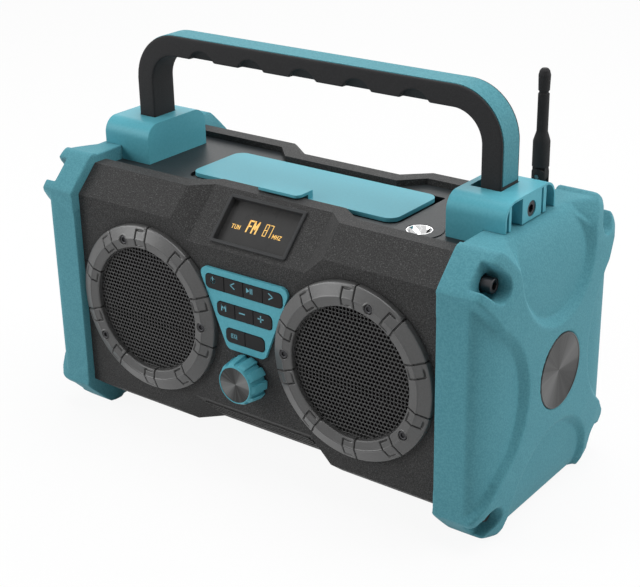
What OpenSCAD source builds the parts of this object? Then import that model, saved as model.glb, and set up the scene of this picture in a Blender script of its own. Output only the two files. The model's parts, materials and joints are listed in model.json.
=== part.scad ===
// Jobsite radio: a twin-speaker housing between two armoured end caps, with a carrying handle,
// a folding antenna, a lidded storage tray, a tilted display, nine keys and a tuning knob.
// +X is the radio's right side as seen from the front, -Y is the front, +Z is up.
// The origin is on the ground under the middle of the end caps.

/* [End caps] */
// Width between the inner faces of the two end caps
cap_gap = 296.8; // [285:0.2:320]
// Depth of an end cap over its corner bosses
cap_depth = 173; // [160:1:190]
// Height of an end cap over its corner bosses
cap_height = 194; // [180:1:210]
// Size of the 45 degree corners of an end cap
cap_corner = 23; // [18:0.5:27]
// Distance the outermost face stands out from the inner face
cap_reach = 39; // [36:0.5:46]
// Depth of the dished panels below the ribs
dish_depth = 4.4; // [3.4:0.2:6]
// How far the ribs and bosses stand above the flat sides
rib_lift = 1.5; // [0.5:0.1:2.5]
// Length of the flat side before the front and rear panels bend away
flat_run = 19.6; // [15:0.2:22]
// Length of the flat top before the upper and lower panels bend away
top_run = 16; // [12:0.5:20]
// Length of the flat underside before the lower panel bends away
base_run = 22.6; // [18:0.2:26]
// Radius of the round medallion
medallion_r = 24.8; // [18:0.2:27]
// Thickness of the medallion
medallion_t = 2.4; // [1.5:0.1:3.5]
// Half the width of a corner screw pocket
pocket_r = 9; // [8:0.5:11]
// Radius of a cap screw's head
cap_screw_head_r = 5; // [3.5:0.1:6]
// Length of a cap screw's head
cap_screw_head_l = 11; // [5:0.5:12]
// Radius of a cap screw's shank
cap_screw_r = 2; // [1.5:0.1:2.5]
// Length of a cap screw's shank
cap_screw_l = 26; // [20:0.5:34]

/* [Housing] */
// How far the housing lies inside the outline of the end caps
housing_inset = 7; // [5:0.5:9]
// Thickness of the housing wall
wall = 3; // [2:0.2:4]
// How far the housing plugs into each end cap
plug_depth = 3.6; // [3:0.2:5]
// Size of the housing's top front chamfer
front_chamfer = 18; // [14:0.5:20]
// Height of the housing's underside above the feet
base_lift = 12.4; // [10:0.2:14]
// Height of the housing's bottom chamfers
base_rise = 13.6; // [11:0.2:16]
// Depth of the housing's bottom chamfers
base_chamfer = 17; // [15:0.5:21]
// Size of the deep chamfer that carries the display
bay_chamfer = 30.5; // [28:0.5:33]
// Half the width of the display bay at its floor
bay_half = 48.5; // [42:0.5:52]
// Extra half width of the bay at its rim
bay_flare = 14; // [8:0.5:18]
// Size of the deep chamfer under the chin
chin_chamfer = 30; // [26:0.5:34]
// Half the width of the chin at its floor
chin_half = 50; // [40:0.5:56]
// Height of a grip ridge on the chin
ridge_h = 1.2; // [0.6:0.1:2]
// Number of grip ridges on the chin
ridge_count = 4; // [2:1:5]
// Place of the joint between the front and rear housing
parting_y = 6; // [0:1:12]

/* [Top] */
// Depth of the recessed top floor below the lips
floor_drop = 4.3; // [3:0.1:6]
// Thickness of the top panel
panel_t = 3; // [2:0.2:4]
// Width of the lips around the recessed floor
lip_w = 11.3; // [9:0.1:13]
// How far the lips step towards the middle
lip_step = 13.5; // [10:0.5:15]
// Place of the rear lip's outer edge behind the middle
rear_lip_y = 52; // [48:0.5:54]
// Half the length of the storage lid
lid_half = 84; // [70:1:88]
// Width of the storage lid from front to rear
lid_w = 53; // [48:0.5:54]
// Thickness of the lid
lid_t = 2.8; // [2:0.2:3.2]
// Gap around the lid
lid_gap = 2.5; // [1.5:0.1:3]
// Half the width of the lid's finger tab
tab_half = 17.5; // [12:0.5:24]
// Depth of the storage tray
tray_depth = 30; // [20:1:38]
// Radius of the hinge pin of the lid
lid_pin_r = 1; // [0.8:0.05:1.1]
// Radius of the lamp's ring
lamp_r = 15.6; // [12:0.2:16.4]
// Radius of the lamp's reflector
reflector_r = 8.6; // [6:0.2:10]

/* [Handle] */
// Depth of the handle bar from front to rear
bar_depth = 22; // [18:0.5:26]
// Thickness of the handle bar
bar_t = 14.5; // [12:0.5:18]
// Height of the top of the handle
handle_top = 271.2; // [255:0.2:290]
// Outer corner radius of the handle
handle_corner = 35; // [28:0.5:40]
// Width of the coloured inlay strip
inlay_w = 18; // [12:0.5:19]
// Depth of the inlay strip in the bar
inlay_t = 1.4; // [1:0.1:2]
// Length of a handle mount along the radio
mount_l = 41.1; // [37:0.1:44]
// Depth of a handle mount from front to rear
mount_d = 60.5; // [52:0.5:66]
// Height of a handle mount above the top floor
mount_h = 27.7; // [24:0.1:32]
// Radius of the mount's front and rear top edges
mount_r = 11; // [6:0.5:14]
// Radius of the handle screw's head
handle_screw_head_r = 5; // [4:0.1:5.4]
// Radius of the handle screw's shank
handle_screw_r = 3; // [2:0.1:3.5]
// Number of finger grooves under the grip
finger_count = 5; // [3:1:5]
// Distance between the finger grooves
finger_pitch = 43; // [38:1:48]

/* [Speakers] */
// Distance between the centres of the two speakers
speaker_pitch = 171; // [165:1:175]
// Distance of the speaker centres below the lips
speaker_drop = 87.5; // [84:0.5:91]
// Outer radius of a speaker ring
ring_r = 60; // [56:0.2:60.4]
// Radius of the ring's crest
crest_r = 51.3; // [50.4:0.1:52]
// Inner radius of a speaker ring
ring_bore = 44.7; // [42:0.1:44.8]
// Height of the ring's rim
ring_rim = 3.8; // [3:0.1:5]
// Height of the ring's crest
ring_crest = 7.4; // [6.6:0.1:9]
// Radius of the circle that the ring screws lie on
ring_screw_circle = 50.5; // [50.2:0.1:51.4]
// Radius of a ring screw's head
ring_screw_head_r = 3; // [2.4:0.1:3.1]
// Thickness of the speaker grille
grille_t = 1.2; // [0.8:0.1:1.6]
// Travel of a speaker cone each way
cone_travel = 1.5; // [0.5:0.1:2]

/* [Controls] */
// Half the length of the display bezel
bezel_half = 31.3; // [30.6:0.1:34]
// Half the height of the display bezel
bezel_rise = 17.6; // [16.8:0.1:19]
// Half the length of the screen
screen_half = 28.9; // [24:0.1:29.2]
// Half the height of the screen
screen_rise = 15.4; // [12:0.1:15.6]
// Height of the bezel above the bay floor
bezel_h = 1.6; // [1:0.1:2.4]
// Distance of the keypad plate's top edge below the lips
keypad_drop = 44; // [41:0.5:45]
// Height of the keypad plate
keypad_h = 55; // [54:0.5:57]
// Half the width of the keypad plate at its top
keypad_half = 36; // [35:0.1:36.4]
// Half the width of the keypad plate at its base
keypad_foot = 17.4; // [17:0.1:17.6]
// Thickness of the keypad plate
keypad_t = 2.2; // [1.6:0.1:3]
// Height of a key
key_h = 10.6; // [9:0.1:11.4]
// Distance between the rows of keys
key_row_pitch = 17.6; // [16.4:0.1:18]
// Travel of a key
key_travel = 1; // [0.5:0.1:1.1]
// Distance of the knob's axis below the keypad plate
knob_drop = 17.5; // [16.5:0.5:19]
// Radius of the knob at its base
knob_r = 16.3; // [14:0.1:17]
// Radius of the knob at its front
knob_front_r = 14.2; // [13:0.1:14.6]
// Length of the knob
knob_l = 15; // [12:0.5:20]
// Number of lobes around the knob
knob_lobes = 10; // [6:1:14]

/* [Antenna] */
// Radius of the antenna's knuckle
knuckle_r = 5.5; // [4.5:0.1:5.6]
// Radius of the antenna whip
whip_r = 3.6; // [3:0.1:4]
// Height of the antenna's fold axis above the lips
fold_rise = 16; // [14:0.5:20]
// Length of the whip above the fold axis
whip_l = 69; // [55:1:80]

/* [Rear] */
// Half the width of the battery door
door_half = 58; // [50:1:64]
// Height of the battery door
door_h = 71; // [60:1:78]
// How far the battery door stands out of the rear
door_reach = 13; // [11:0.5:14]
// Half the width of the port flap
flap_half = 15; // [12:0.5:18]
// Height of the port flap
flap_h = 16; // [15:0.5:20]

/* [Hidden] */
$fn = 64;

teal = [0.33, 0.56, 0.61];
charcoal = [0.22, 0.22, 0.22];
slate = [0.34, 0.34, 0.35];
rubber_black = [0.12, 0.12, 0.12];
steel = [0.55, 0.55, 0.56];
board_green = [0.10, 0.32, 0.18];

// Clearances
fit = 0.3;          // between plugged parts
shaft_fit = 0.05;   // radial, of a pin or shaft that turns in its bore
screw_fit = 0.2;    // radial, around a screw's shank
overshoot = 1;      // how far a cut runs past a surface
long = 500;         // longer than the whole radio

// End caps
ring_to_cap = 2;    // least room between a speaker ring and an end cap
cap_x = max(cap_gap / 2, speaker_pitch / 2 + ring_r + ring_to_cap);
cap_face_x = cap_x + cap_reach;
cap_mid_z = cap_height / 2;
cap_half = cap_depth / 2;
cap_screw_y = cap_half - 22.5;
cap_screw_dz = cap_mid_z - 20.5;
pocket_y = cap_half - 19.5;
pocket_dz = cap_mid_z - 19.6;
pocket_x = cap_x + 15.6;
pocket_floor_x = pocket_x + 4;
pocket_run = 30;    // length of a corner pocket towards its corner, through which it is open
head_gap = 0.6;
cap_hex_r = 2.6;
dish_x = cap_face_x - dish_depth;
dish_front = cap_half - rib_lift;
dish_top = cap_mid_z - rib_lift;
dish_steps = 8;
cap_skin = 10;      // thickness left outside the hollow of the cap
dish_flat = 6;      // flat floor of a panel beyond its rib
front_dish_r = 60;
front_dish_apex = 38;
top_dish_r = 47;
top_dish_apex = 32;
base_dish_r = 50;
base_dish_apex = 36.5;
side_wedge = [68, 53];   // inner corner of the front and rear wedges
end_wedge = [46, 79];    // inner corner of the top wedge
base_wedge = 52;         // half width of the bottom panel at the outline
dome_lift = 2;
// Radius around the cap's middle, and how far the ribs have fallen back from the face there
dome = [[30, 0], [60, -0.9], [85, -2.8], [98, -4.8], [106, -7.6], [111, -10.6], [115, -15], [119, -23]];

// Housing
front_y = -(cap_half - rib_lift - housing_inset);
rear_y = -front_y;
base_z = base_lift;
base_angle = atan(base_rise / base_chamfer);
lip_z = cap_height - housing_inset;
housing_end = cap_x + plug_depth;
front_lip_y = front_y + front_chamfer;
front_step_y = front_y + bay_chamfer;
rear_step_y = rear_lip_y - lip_step - 1.5;
floor_front_y = front_lip_y + lip_w - 0.4;
floor_rear_y = rear_lip_y - lip_w;
rear_shoulder = [rear_lip_y + 8.5, lip_z - 4.3];
rear_chamfer = rear_y - rear_shoulder[0];
bay_root = -bay_chamfer / sqrt(2);
chin_root = -chin_chamfer / sqrt(2);
bay_slope = bay_flare / ((bay_chamfer - front_chamfer) / sqrt(2));
chin_slope = 1.41;
rear_bay_chamfer = rear_y - rear_step_y;
rear_bay_half = 42;
inner_front_y = front_y + wall;

// Top
floor_z = lip_z - floor_drop;
panel_z = floor_z - panel_t;
lid_rear_y = 20.5;
lid_front_y = lid_rear_y - lid_w;
lid_top_z = floor_z + 2.3;
lid_base_z = lid_top_z - lid_t;
lid_corner = 8;
opening_half = lid_half + lid_gap;
opening_front_y = lid_front_y - lid_gap;
opening_rear_y = lid_rear_y + 4.1;
lid_axis = [lid_rear_y - 2, lid_base_z - 2.4];
knuckle = lid_pin_r + 1.1;
lid_ears = [56, 61];
tab_z = lip_z + 1.2;
tab_t = 2;
tray_wall = 2;
tray_base_z = panel_z - tray_depth;
ledge_z = lid_base_z - 1.8;
ledge_t = 3;
ledge_w = 9;
lamp_at = [103.7, -33.2];

// Handle
mount_inner_x = cap_x - 26.2;
mount_outer_x = mount_inner_x + mount_l;
mount_y = -2.75;
mount_rim = 1.4;
mount_top_z = floor_z + mount_h;
bar_y = -1.85;
handle_half = cap_x - 0.5;
handle_inner_half = handle_half - bar_t;
handle_root_z = floor_z + 5;
handle_screw_z = floor_z + 16.8;
bar_front_y = bar_y - bar_depth / 2;
finger_x = -1;
finger_rise = 4.8;
finger_r = 19.5;
finger_tilt = 45;

// Speakers
speaker_x = speaker_pitch / 2;
speaker_z = lip_z - speaker_drop;
rebate_r = ring_bore + 2.3;
rebate_h = 3.2;
grille_r = rebate_r - 0.2;
grille_lift = rebate_h - grille_t - 0.3;
ring_seat = ring_crest - 3;
ring_screw_angles = [108, 0, 216];
ring_screw_r = 1.5;
ring_screw_l = ring_seat + wall + 3;
basket_r = crest_r + 2;
surround_r = ring_bore - 1.4;
cone_r = surround_r - 5.3;
magnet_r = 26;
coil_r = 11;
throat = 30;        // depth of the basket behind the front wall
magnet_t = 14;

// Controls
panel_tilt = 45;
window_half = screen_half + 0.9;
window_rise = screen_rise + 0.9;
lens_t = 1.5;
module_t = 5;
keypad_top = lip_z - keypad_drop;
keypad_base = keypad_top - keypad_h;
knob_z = keypad_base - knob_drop;
row1_z = keypad_base + 45.6;
row_z = [row1_z, row1_z - key_row_pitch, row1_z - 2 * key_row_pitch];
row_half = [32.2, 23.2, 16.4];
row_keys = [4, 3, 2];
key_corner = 3.5;
key_split = 0.5;
key_lift = keypad_t + 0.5;
key_gap = 0.25;
board_y = inner_front_y + 2.5;
board_top_z = lip_z - bay_chamfer - 5.5;
board_half = speaker_x - ring_screw_circle - 2;
board_post_r = 3;
low_post_x = 23;
key_back_y = board_y - key_travel - 0.3;
key_flange = 1;
board_t = 1.6;
shaft_r = 3;
knob_y = front_y - 0.3;
knob_face_y = knob_y - knob_l;

// Antenna
antenna_at = [cap_x - 6.2, (rear_lip_y + rear_lip_y - lip_w) / 2 + 0.3];
antenna_foot = 3;
fold_z = lip_z + fold_rise;
cheek = 2.9;
hub_half = knuckle_r - cheek;
spigot_r = 2.4;
pivot_pin_r = 1.5;

// Rear
door_z = 41;
door_axis = [rear_y + 3, door_z];
door_barrel_r = 2.5;
door_pin_r = 1.2;
bay_box_half = door_half - 8;
bay_box_z = [door_z + 8, door_z + door_h - 7];
bay_box_y = rear_y - 40;
main_board_half = door_half + 2;
main_board_z = (bay_box_z[0] + bay_box_z[1]) / 2;
main_board_gap = 12;
flap_at = [96, 60];
jack_r = 5.5;
jack_bore_r = 3.2;
post_x = cap_x - 16.4;
screw_posts = [for (x = [-post_x, post_x], z = [40, 140]) [x, z]];

// ---------- helpers ----------
module prism_x(points, x0, x1)
    translate([x0, 0, 0]) rotate([90, 0, 90]) linear_extrude(x1 - x0) polygon(points);

module prism_y(points, y0, y1)
    translate([0, y1, 0]) rotate([90, 0, 0]) linear_extrude(y1 - y0) polygon(points);

module slab_y(y0, y1) translate([0, y1, 0]) rotate([90, 0, 0]) linear_extrude(y1 - y0) children();

module slab_z(z0, z1) translate([0, 0, z0]) linear_extrude(z1 - z0) children();

module rod_x(r, x0, x1) translate([x0, 0, 0]) rotate([0, 90, 0]) cylinder(r = r, h = x1 - x0);

module rod_y(r, y0, y1) translate([0, y0, 0]) rotate([-90, 0, 0]) cylinder(r = r, h = y1 - y0);

module block(x0, x1, y0, y1, z0, z1) translate([x0, y0, z0]) cube([x1 - x0, y1 - y0, z1 - z0]);

module right_and_left() for (side = [1, -1]) scale([side, 1, 1]) children();

module mirrored(side) if (side > 0) children(); else mirror([1, 0, 0]) children();

// A rectangle with round corners, centred on the origin
module rounded(half_x, half_y, r) {
    square([2 * half_x, 2 * (half_y - r)], center = true);
    square([2 * (half_x - r), 2 * half_y], center = true);
    for (sx = [-1, 1], sy = [-1, 1]) translate([sx * (half_x - r), sy * (half_y - r)]) circle(r);
}

// A revolved profile whose axis runs along Y; the profile gives radius and distance to the front
module revolved_y(profile) rotate([90, 0, 0]) rotate_extrude() polygon(profile);

// ---------- end caps ----------
function cap_outline(d) = let (y = cap_half - d, z = cap_mid_z - d, c = cap_corner - d * (2 - sqrt(2)))
    [[-y, cap_mid_z - z + c], [-y + c, cap_mid_z - z], [y - c, cap_mid_z - z], [y, cap_mid_z - z + c],
     [y, cap_mid_z + z - c], [y - c, cap_mid_z + z], [-y + c, cap_mid_z + z], [-y, cap_mid_z + z - c]];

// Half outline of a dished side: a quarter of an ellipse from the end of the flat side to the dish floor
function dish_side(run, out, apex, sign) = [for (i = [0 : dish_steps])
    let (t = 90 * i / dish_steps, flat = apex + dish_flat)
    [cap_x + run + (cap_reach - dish_depth - run) * sin(t), sign * (flat + (out - flat) * cos(t))]];

module dished_sides() {
    front = dish_side(flat_run, dish_front, front_dish_apex, -1);
    rear = dish_side(flat_run, dish_front, front_dish_apex, 1);
    slab_z(-overshoot, cap_height + overshoot)
        polygon(concat([[cap_x, -dish_front]], front,
            [for (i = [dish_steps : -1 : 0]) rear[i]], [[cap_x, dish_front]]));
}

module dished_ends() {
    top = dish_side(top_run, dish_top, top_dish_apex, 1);
    base = dish_side(base_run, dish_top, base_dish_apex, -1);
    translate([0, 0, cap_mid_z])
        prism_y(concat([[cap_x, -dish_top]], base,
            [for (i = [dish_steps : -1 : 0]) top[i]], [[cap_x, dish_top]]), -cap_half, cap_half);
}

// The four panels that are dished between the ribs, seen along X
module dish_panels() {
    edge = cap_half + overshoot;
    for (s = [-1, 1]) {
        translate([s * (front_dish_apex + front_dish_r), cap_mid_z]) circle(front_dish_r);
        polygon([[s * side_wedge[0], cap_mid_z - side_wedge[1]], [s * edge, cap_corner - 2],
            [s * edge, cap_height - cap_corner + 2], [s * side_wedge[0], cap_mid_z + side_wedge[1]]]);
    }
    translate([0, cap_mid_z + top_dish_apex + top_dish_r]) circle(top_dish_r);
    top_edge = cap_half - cap_corner - 3;
    polygon([[-end_wedge[0], cap_mid_z + end_wedge[1]], [end_wedge[0], cap_mid_z + end_wedge[1]],
        [top_edge, cap_height + overshoot], [-top_edge, cap_height + overshoot]]);
    base_centre = cap_mid_z - base_dish_apex - base_dish_r;
    translate([0, base_centre]) circle(base_dish_r);
    polygon([[-base_dish_r, base_centre], [base_dish_r, base_centre],
        [base_wedge, -overshoot], [-base_wedge, -overshoot]]);
}

module ribs() intersection() {
    prism_x_shape(cap_x, cap_face_x + overshoot) difference() {
        polygon(cap_outline(0));
        dish_panels();
    }
    translate([0, 0, cap_mid_z + dome_lift]) rotate([0, 90, 0]) rotate_extrude($fn = 96)
        polygon(concat([[0, cap_x - overshoot], [0, cap_face_x]], [for (p = dome) [p[0], cap_face_x + p[1]]],
            [[dome[len(dome) - 1][0], cap_x - overshoot]]));
}

module prism_x_shape(x0, x1) translate([x0, 0, 0]) rotate([90, 0, 90]) linear_extrude(x1 - x0) children();

module at_cap_screws(y, dz) for (sy = [-1, 1], sz = [-1, 1])
    translate([0, sy * y, cap_mid_z + sz * dz]) children();

module end_cap(side) color(teal) mirrored(side) difference() {
    union() {
        intersection() {
            prism_x(cap_outline(rib_lift), cap_x, cap_face_x);
            dished_sides();
            dished_ends();
        }
        ribs();
    }
    cap_socket();
    block(cap_x, dish_x - cap_skin, -cap_half + 30, cap_half - 30, 34, cap_height - 34);
    corner_pockets();
    at_cap_screws(cap_screw_y, cap_screw_dz)
        rod_x(cap_screw_head_r + head_gap, pocket_x, cap_face_x + overshoot);
    at_cap_screws(cap_screw_y, cap_screw_dz) rod_x(cap_screw_r + screw_fit, cap_x, cap_face_x);
    translate([0, 0, cap_mid_z]) rod_x(medallion_r + fit, cap_face_x - medallion_t, cap_face_x + overshoot);
}

// Pockets around the heads of the corner screws: round inside, open towards the corner
module corner_pockets() prism_x_shape(pocket_floor_x, cap_face_x + overshoot) for (sy = [-1, 1], sz = [-1, 1])
    translate([sy * pocket_y, cap_mid_z + sz * pocket_dz]) rotate(atan2(sz, sy)) {
        circle(pocket_r);
        translate([0, -pocket_r]) square([pocket_run, 2 * pocket_r]);
    }

// The recess that takes the end of the housing, filled again between the lips of the top
module cap_socket() difference() {
    prism_x(housing_outline(-fit), cap_x - overshoot, housing_end + fit);
    block(cap_x, long, floor_front_y + fit, floor_rear_y - fit, panel_z + fit, cap_height);
}

module medallion(side) color(slate) mirrored(side) translate([0, 0, cap_mid_z])
    rod_x(medallion_r, cap_face_x - medallion_t, cap_face_x + 0.4);

module cap_screws() color(rubber_black) right_and_left() at_cap_screws(cap_screw_y, cap_screw_dz) {
    difference() {
        rod_x(cap_screw_head_r, pocket_x, pocket_x + cap_screw_head_l);
        translate([pocket_x + cap_screw_head_l - 3, 0, 0]) rotate([0, 90, 0])
            cylinder(r = cap_hex_r, h = 4, $fn = 6);
    }
    rod_x(cap_screw_r, pocket_x - cap_screw_l, pocket_x);
}

// ---------- housing ----------
// Outline of the housing seen along X, moved inwards by d
function housing_outline(d) = let (k = sqrt(2) - 1, c = base_chamfer, f = front_chamfer,
        kc = tan(base_angle / 2), kr = tan(45 - base_angle / 2))
    [[front_y + d, base_z + base_rise + kr * d], [front_y + c + kc * d, base_z + d],
     [rear_y - c - kc * d, base_z + d], [rear_y - d, base_z + base_rise + kr * d],
     [rear_y - d, rear_shoulder[1] - rear_chamfer - k * d],
     [rear_shoulder[0] - 0.6 * d, rear_shoulder[1] - 0.85 * d],
     [rear_lip_y - 0.3 * d, lip_z - d], [front_lip_y + k * d, lip_z - d],
     [front_y + d, lip_z - f - k * d]];

// A cut with slanted ends below a 45 degree corner; d moves its faces into the housing
module corner_cut(y, z, turn, root, half, slope, d) translate([0, y, z]) rotate([turn, 0, 0])
    prism_y([[-half - d, root - d], [half + d, root - d],
        [half + d + slope * 40, root - d + 40], [-half - d - slope * 40, root - d + 40]], -60, 60);

module display_bay(d) corner_cut(front_y, lip_z, panel_tilt, bay_root, bay_half, bay_slope, d);

module chin_bay(d) corner_cut(front_y, base_z, 135, chin_root, chin_half, chin_slope, d);

module rear_bay(d) corner_cut(rear_y, lip_z, -45, -rear_bay_chamfer / sqrt(2), rear_bay_half, 1.6, d);

// Outline of the recessed top floor, moved outwards by d
function floor_outline(d, l = cap_x) = let (fs = floor_front_y, fc = front_step_y + lip_w,
        rs = floor_rear_y, rc = rear_step_y - lip_w, a = bay_half + 2, b = bay_half + 20)
    [[-l, fs - d], [-b - 0.4 * d, fs - d], [-a - 0.4 * d, fc - d], [a + 0.4 * d, fc - d],
     [b + 0.4 * d, fs - d], [l, fs - d], [l, rs + d], [rear_bay_half + 20 + 0.4 * d, rs + d],
     [rear_bay_half + 5 + 0.4 * d, rc + d], [-rear_bay_half - 5 - 0.4 * d, rc + d],
     [-rear_bay_half - 20 - 0.4 * d, rs + d], [-l, rs + d]];

module housing_shell() difference() {
    union() {
        difference() {
            prism_x(housing_outline(0), -housing_end, housing_end);
            difference() {
                prism_x(housing_outline(wall), -housing_end + wall, housing_end - wall);
                display_bay(wall);
                chin_bay(wall);
                rear_bay(wall);
            }
        }
        intersection() {
            prism_x(housing_outline(0), -housing_end, housing_end);
            slab_z(panel_z - wall, lip_z) polygon(floor_outline(wall));
        }
    }
    display_bay(0);
    chin_bay(0);
    rear_bay(0);
    slab_z(panel_z, lip_z + overshoot) polygon(floor_outline(0, housing_end + overshoot));
    slab_z(panel_z - wall - overshoot, panel_z + overshoot) polygon(floor_outline(-4));
    block(-opening_half - tray_wall - fit, opening_half + tray_wall + fit, opening_front_y - tray_wall - fit,
        opening_rear_y + tray_wall + fit, tray_base_z, panel_z + overshoot);
    right_and_left() for (sz = [-1, 1], sy = [-1, 1])
        translate([0, sy * cap_screw_y, cap_mid_z + sz * cap_screw_dz])
            rod_x(cap_screw_r + screw_fit, housing_end - 30, housing_end + overshoot);
}

// Posts that the cap screws bite into, inside each end
module cap_screw_posts() right_and_left() intersection() {
    prism_x(housing_outline(0), 0, housing_end);
    difference() {
        at_cap_screws(cap_screw_y, cap_screw_dz) rod_x(cap_screw_r + 3, housing_end - 24, housing_end - wall);
        at_cap_screws(cap_screw_y, cap_screw_dz)
            rod_x(cap_screw_r + screw_fit, housing_end - 30, housing_end + overshoot);
    }
}

module at_ring_screws(side) for (a = ring_screw_angles)
    translate([side * (speaker_x - ring_screw_circle * cos(a)), 0,
        speaker_z + ring_screw_circle * sin(a)]) children();

module chin_ridges() translate([0, front_y, base_z]) rotate([135, 0, 0])
    for (i = [0 : ridge_count - 1]) let (t = 12 - i * 6)
        prism_y([[-chin_half + 5, chin_root - 1], [chin_half - 5, chin_root - 1],
            [chin_half - 5, chin_root + ridge_h], [-chin_half + 5, chin_root + ridge_h]], t - 1.2, t + 1.2);

module front_housing() color(charcoal) difference() {
    union() {
        intersection() {
            housing_shell();
            block(-long, long, -long, parting_y, -long, long);
        }
        intersection() {
            cap_screw_posts();
            block(-long, long, -long, parting_y, -long, long);
        }
        chin_ridges();
        for (s = [-1, 1]) {
            translate([s * (board_half - board_post_r - 1), 0, board_top_z - board_post_r - 0.5])
                rod_y(board_post_r, inner_front_y - 0.5, board_y);
            translate([s * low_post_x, 0, keypad_base - board_post_r - 2])
                rod_y(board_post_r, inner_front_y - 0.5, board_y);
        }
        for (p = screw_posts) translate([p[0], 0, p[1]]) rod_y(5, parting_y - 30, parting_y);
        right_and_left() for (p = screw_posts) if (p[0] > 0)
            block(p[0] - 5, housing_end - wall + 0.5, parting_y - 30, parting_y - 24, p[1] - 3, p[1] + 3);
    }
    right_and_left() translate([speaker_x, 0, speaker_z])
        rod_y(rebate_r - 4, front_y - overshoot, inner_front_y + overshoot);
    for (side = [-1, 1]) at_ring_screws(side)
        rod_y(ring_screw_r + screw_fit, front_y - overshoot, inner_front_y + overshoot);
    key_windows(0);
    translate([0, 0, knob_z]) rod_y(shaft_r + 1.2, front_y - overshoot, inner_front_y + overshoot);
    on_bay() block(-window_half, window_half, -window_rise, window_rise,
        bay_root - wall - overshoot, bay_root + overshoot);
    for (p = screw_posts) translate([p[0], 0, p[1]]) rod_y(1.6, parting_y - 20, parting_y + overshoot);
}

module rear_housing() color(charcoal) difference() {
    union() {
        intersection() {
            housing_shell();
            block(-long, long, parting_y, long, -long, long);
        }
        intersection() {
            cap_screw_posts();
            block(-long, long, parting_y, long, -long, long);
        }
        block(-bay_box_half - wall, bay_box_half + wall, bay_box_y - wall, rear_y - 1,
            bay_box_z[0] - wall, bay_box_z[1] + wall);
        for (x = [-1, 1], z = [-1, 1]) translate([x * (main_board_half - 15), 0, main_board_z + z * 18])
            rod_y(3, bay_box_y - wall - main_board_gap, bay_box_y - wall + 0.5);
        for (x = [-door_half - 8, door_half + 0.6]) door_ear(x, x + 7.4);
        for (x = [flap_at[0] - flap_half - 3.2, flap_at[0] + flap_half + 0.2]) flap_ear(x, x + 3);
        for (p = screw_posts) translate([p[0], 0, p[1]]) rod_y(5, parting_y, rear_y - 0.5);
        right_and_left() for (p = screw_posts) if (p[0] > 0)
            block(p[0] - 5, housing_end - wall + 0.5, rear_y - 18, rear_y - 1, p[1] - 3, p[1] + 3);
    }
    block(-bay_box_half, bay_box_half, bay_box_y, rear_y + overshoot, bay_box_z[0], bay_box_z[1]);
    translate([flap_at[0], 0, flap_at[1]]) rod_y(jack_r + 0.1, rear_y - wall - overshoot, rear_y + overshoot);
    for (p = screw_posts) translate([p[0], 0, p[1]]) {
        rod_y(1.8, parting_y - overshoot, rear_y + overshoot);
        rod_y(3.4, parting_y + 12, rear_y + overshoot);
    }
}

module door_ear(x0, x1) difference() {
    union() {
        block(x0, x1, rear_y - 1, door_axis[0], door_z - 4, door_z + 4);
        translate([0, door_axis[0], door_z]) rod_x(4, x0, x1);
    }
    translate([0, door_axis[0], door_z]) rod_x(door_pin_r + shaft_fit, x0 - overshoot, x1 + overshoot);
}

module flap_ear(x0, x1) translate([0, rear_y + 1.7, flap_at[1] + flap_h / 2 - 1]) difference() {
    union() {
        block(x0, x1, -2.2, 0, -1.9, 1.9);
        rod_x(1.9, x0, x1);
    }
    rod_x(0.8 + shaft_fit, x0 - overshoot, x1 + overshoot);
}

// ---------- top ----------
module top_panel() color(slate) difference() {
    slab_z(panel_z, floor_z) polygon(floor_outline(-0.2));
    slab_z(panel_z - overshoot, floor_z + overshoot) lid_opening(0);
    translate([lamp_at[0], lamp_at[1], panel_z - overshoot]) cylinder(r = reflector_r + 2.2, h = panel_t + 2);
    translate([lamp_at[0], lamp_at[1], floor_z - 1]) cylinder(r = lamp_r + 0.1, h = 2);
}

// The opening around the lid, moved inwards by d; its rear corners are tight, so the open lid clears them
module lid_opening(d) {
    half_y = (opening_rear_y - opening_front_y) / 2;
    translate([0, opening_front_y + half_y]) rounded(opening_half - d, half_y - d, lid_corner);
    translate([0, opening_rear_y - half_y / 2]) rounded(opening_half - d, half_y / 2 - d, 2);
}

module lamp_ring() color(slate) translate([lamp_at[0], lamp_at[1], 0]) difference() {
    union() {
        translate([0, 0, floor_z - 1]) cylinder(r = lamp_r, h = 1.5);
        translate([0, 0, panel_z - 2]) cylinder(r = reflector_r + 2, h = panel_t + 2);
    }
    translate([0, 0, panel_z - 2 - overshoot]) cylinder(r = reflector_r, h = panel_t + 6);
}

module lamp_reflector() color([0.8, 0.8, 0.8]) translate([lamp_at[0], lamp_at[1], floor_z + 0.3])
    rotate_extrude() polygon([[1.5, -6], [2.5, -6], [reflector_r - 0.1, -0.8], [reflector_r - 0.1, 0],
        [reflector_r - 0.9, 0], [1.5, -5.2]]);

module lamp_lens() color([0.9, 0.9, 0.85]) translate([lamp_at[0], lamp_at[1], floor_z - 5.7])
    cylinder(r = 1.45, h = 2.2);

module lid() color(teal) {
    difference() {
        union() {
            slab_z(lid_base_z, lid_top_z) translate([0, (lid_front_y + lid_rear_y) / 2])
                rounded(lid_half, lid_w / 2, lid_corner);
            slab_z(lid_top_z - 0.5, tab_z + tab_t) translate([-tab_half, lid_front_y])
                square([2 * tab_half, 5]);
            slab_z(tab_z, tab_z + tab_t) translate([0, lid_front_y - 2.5]) rounded(tab_half, 8, 4);
            for (s = [-1, 1]) hinge_barrel(s * 48, 6, knuckle, lid_base_z + 0.5);
        }
        translate([0, lid_axis[0], lid_axis[1]]) rod_x(lid_pin_r + shaft_fit, -lid_half, lid_half);
    }
}

// A barrel around the lid's pin with a web that rises to height z
module hinge_barrel(x, half, r, z) {
    translate([0, lid_axis[0], lid_axis[1]]) rod_x(r, x - half, x + half);
    block(x - half, x + half, lid_axis[0] - r, lid_axis[0] + r - 0.6, lid_axis[1], z);
}

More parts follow.
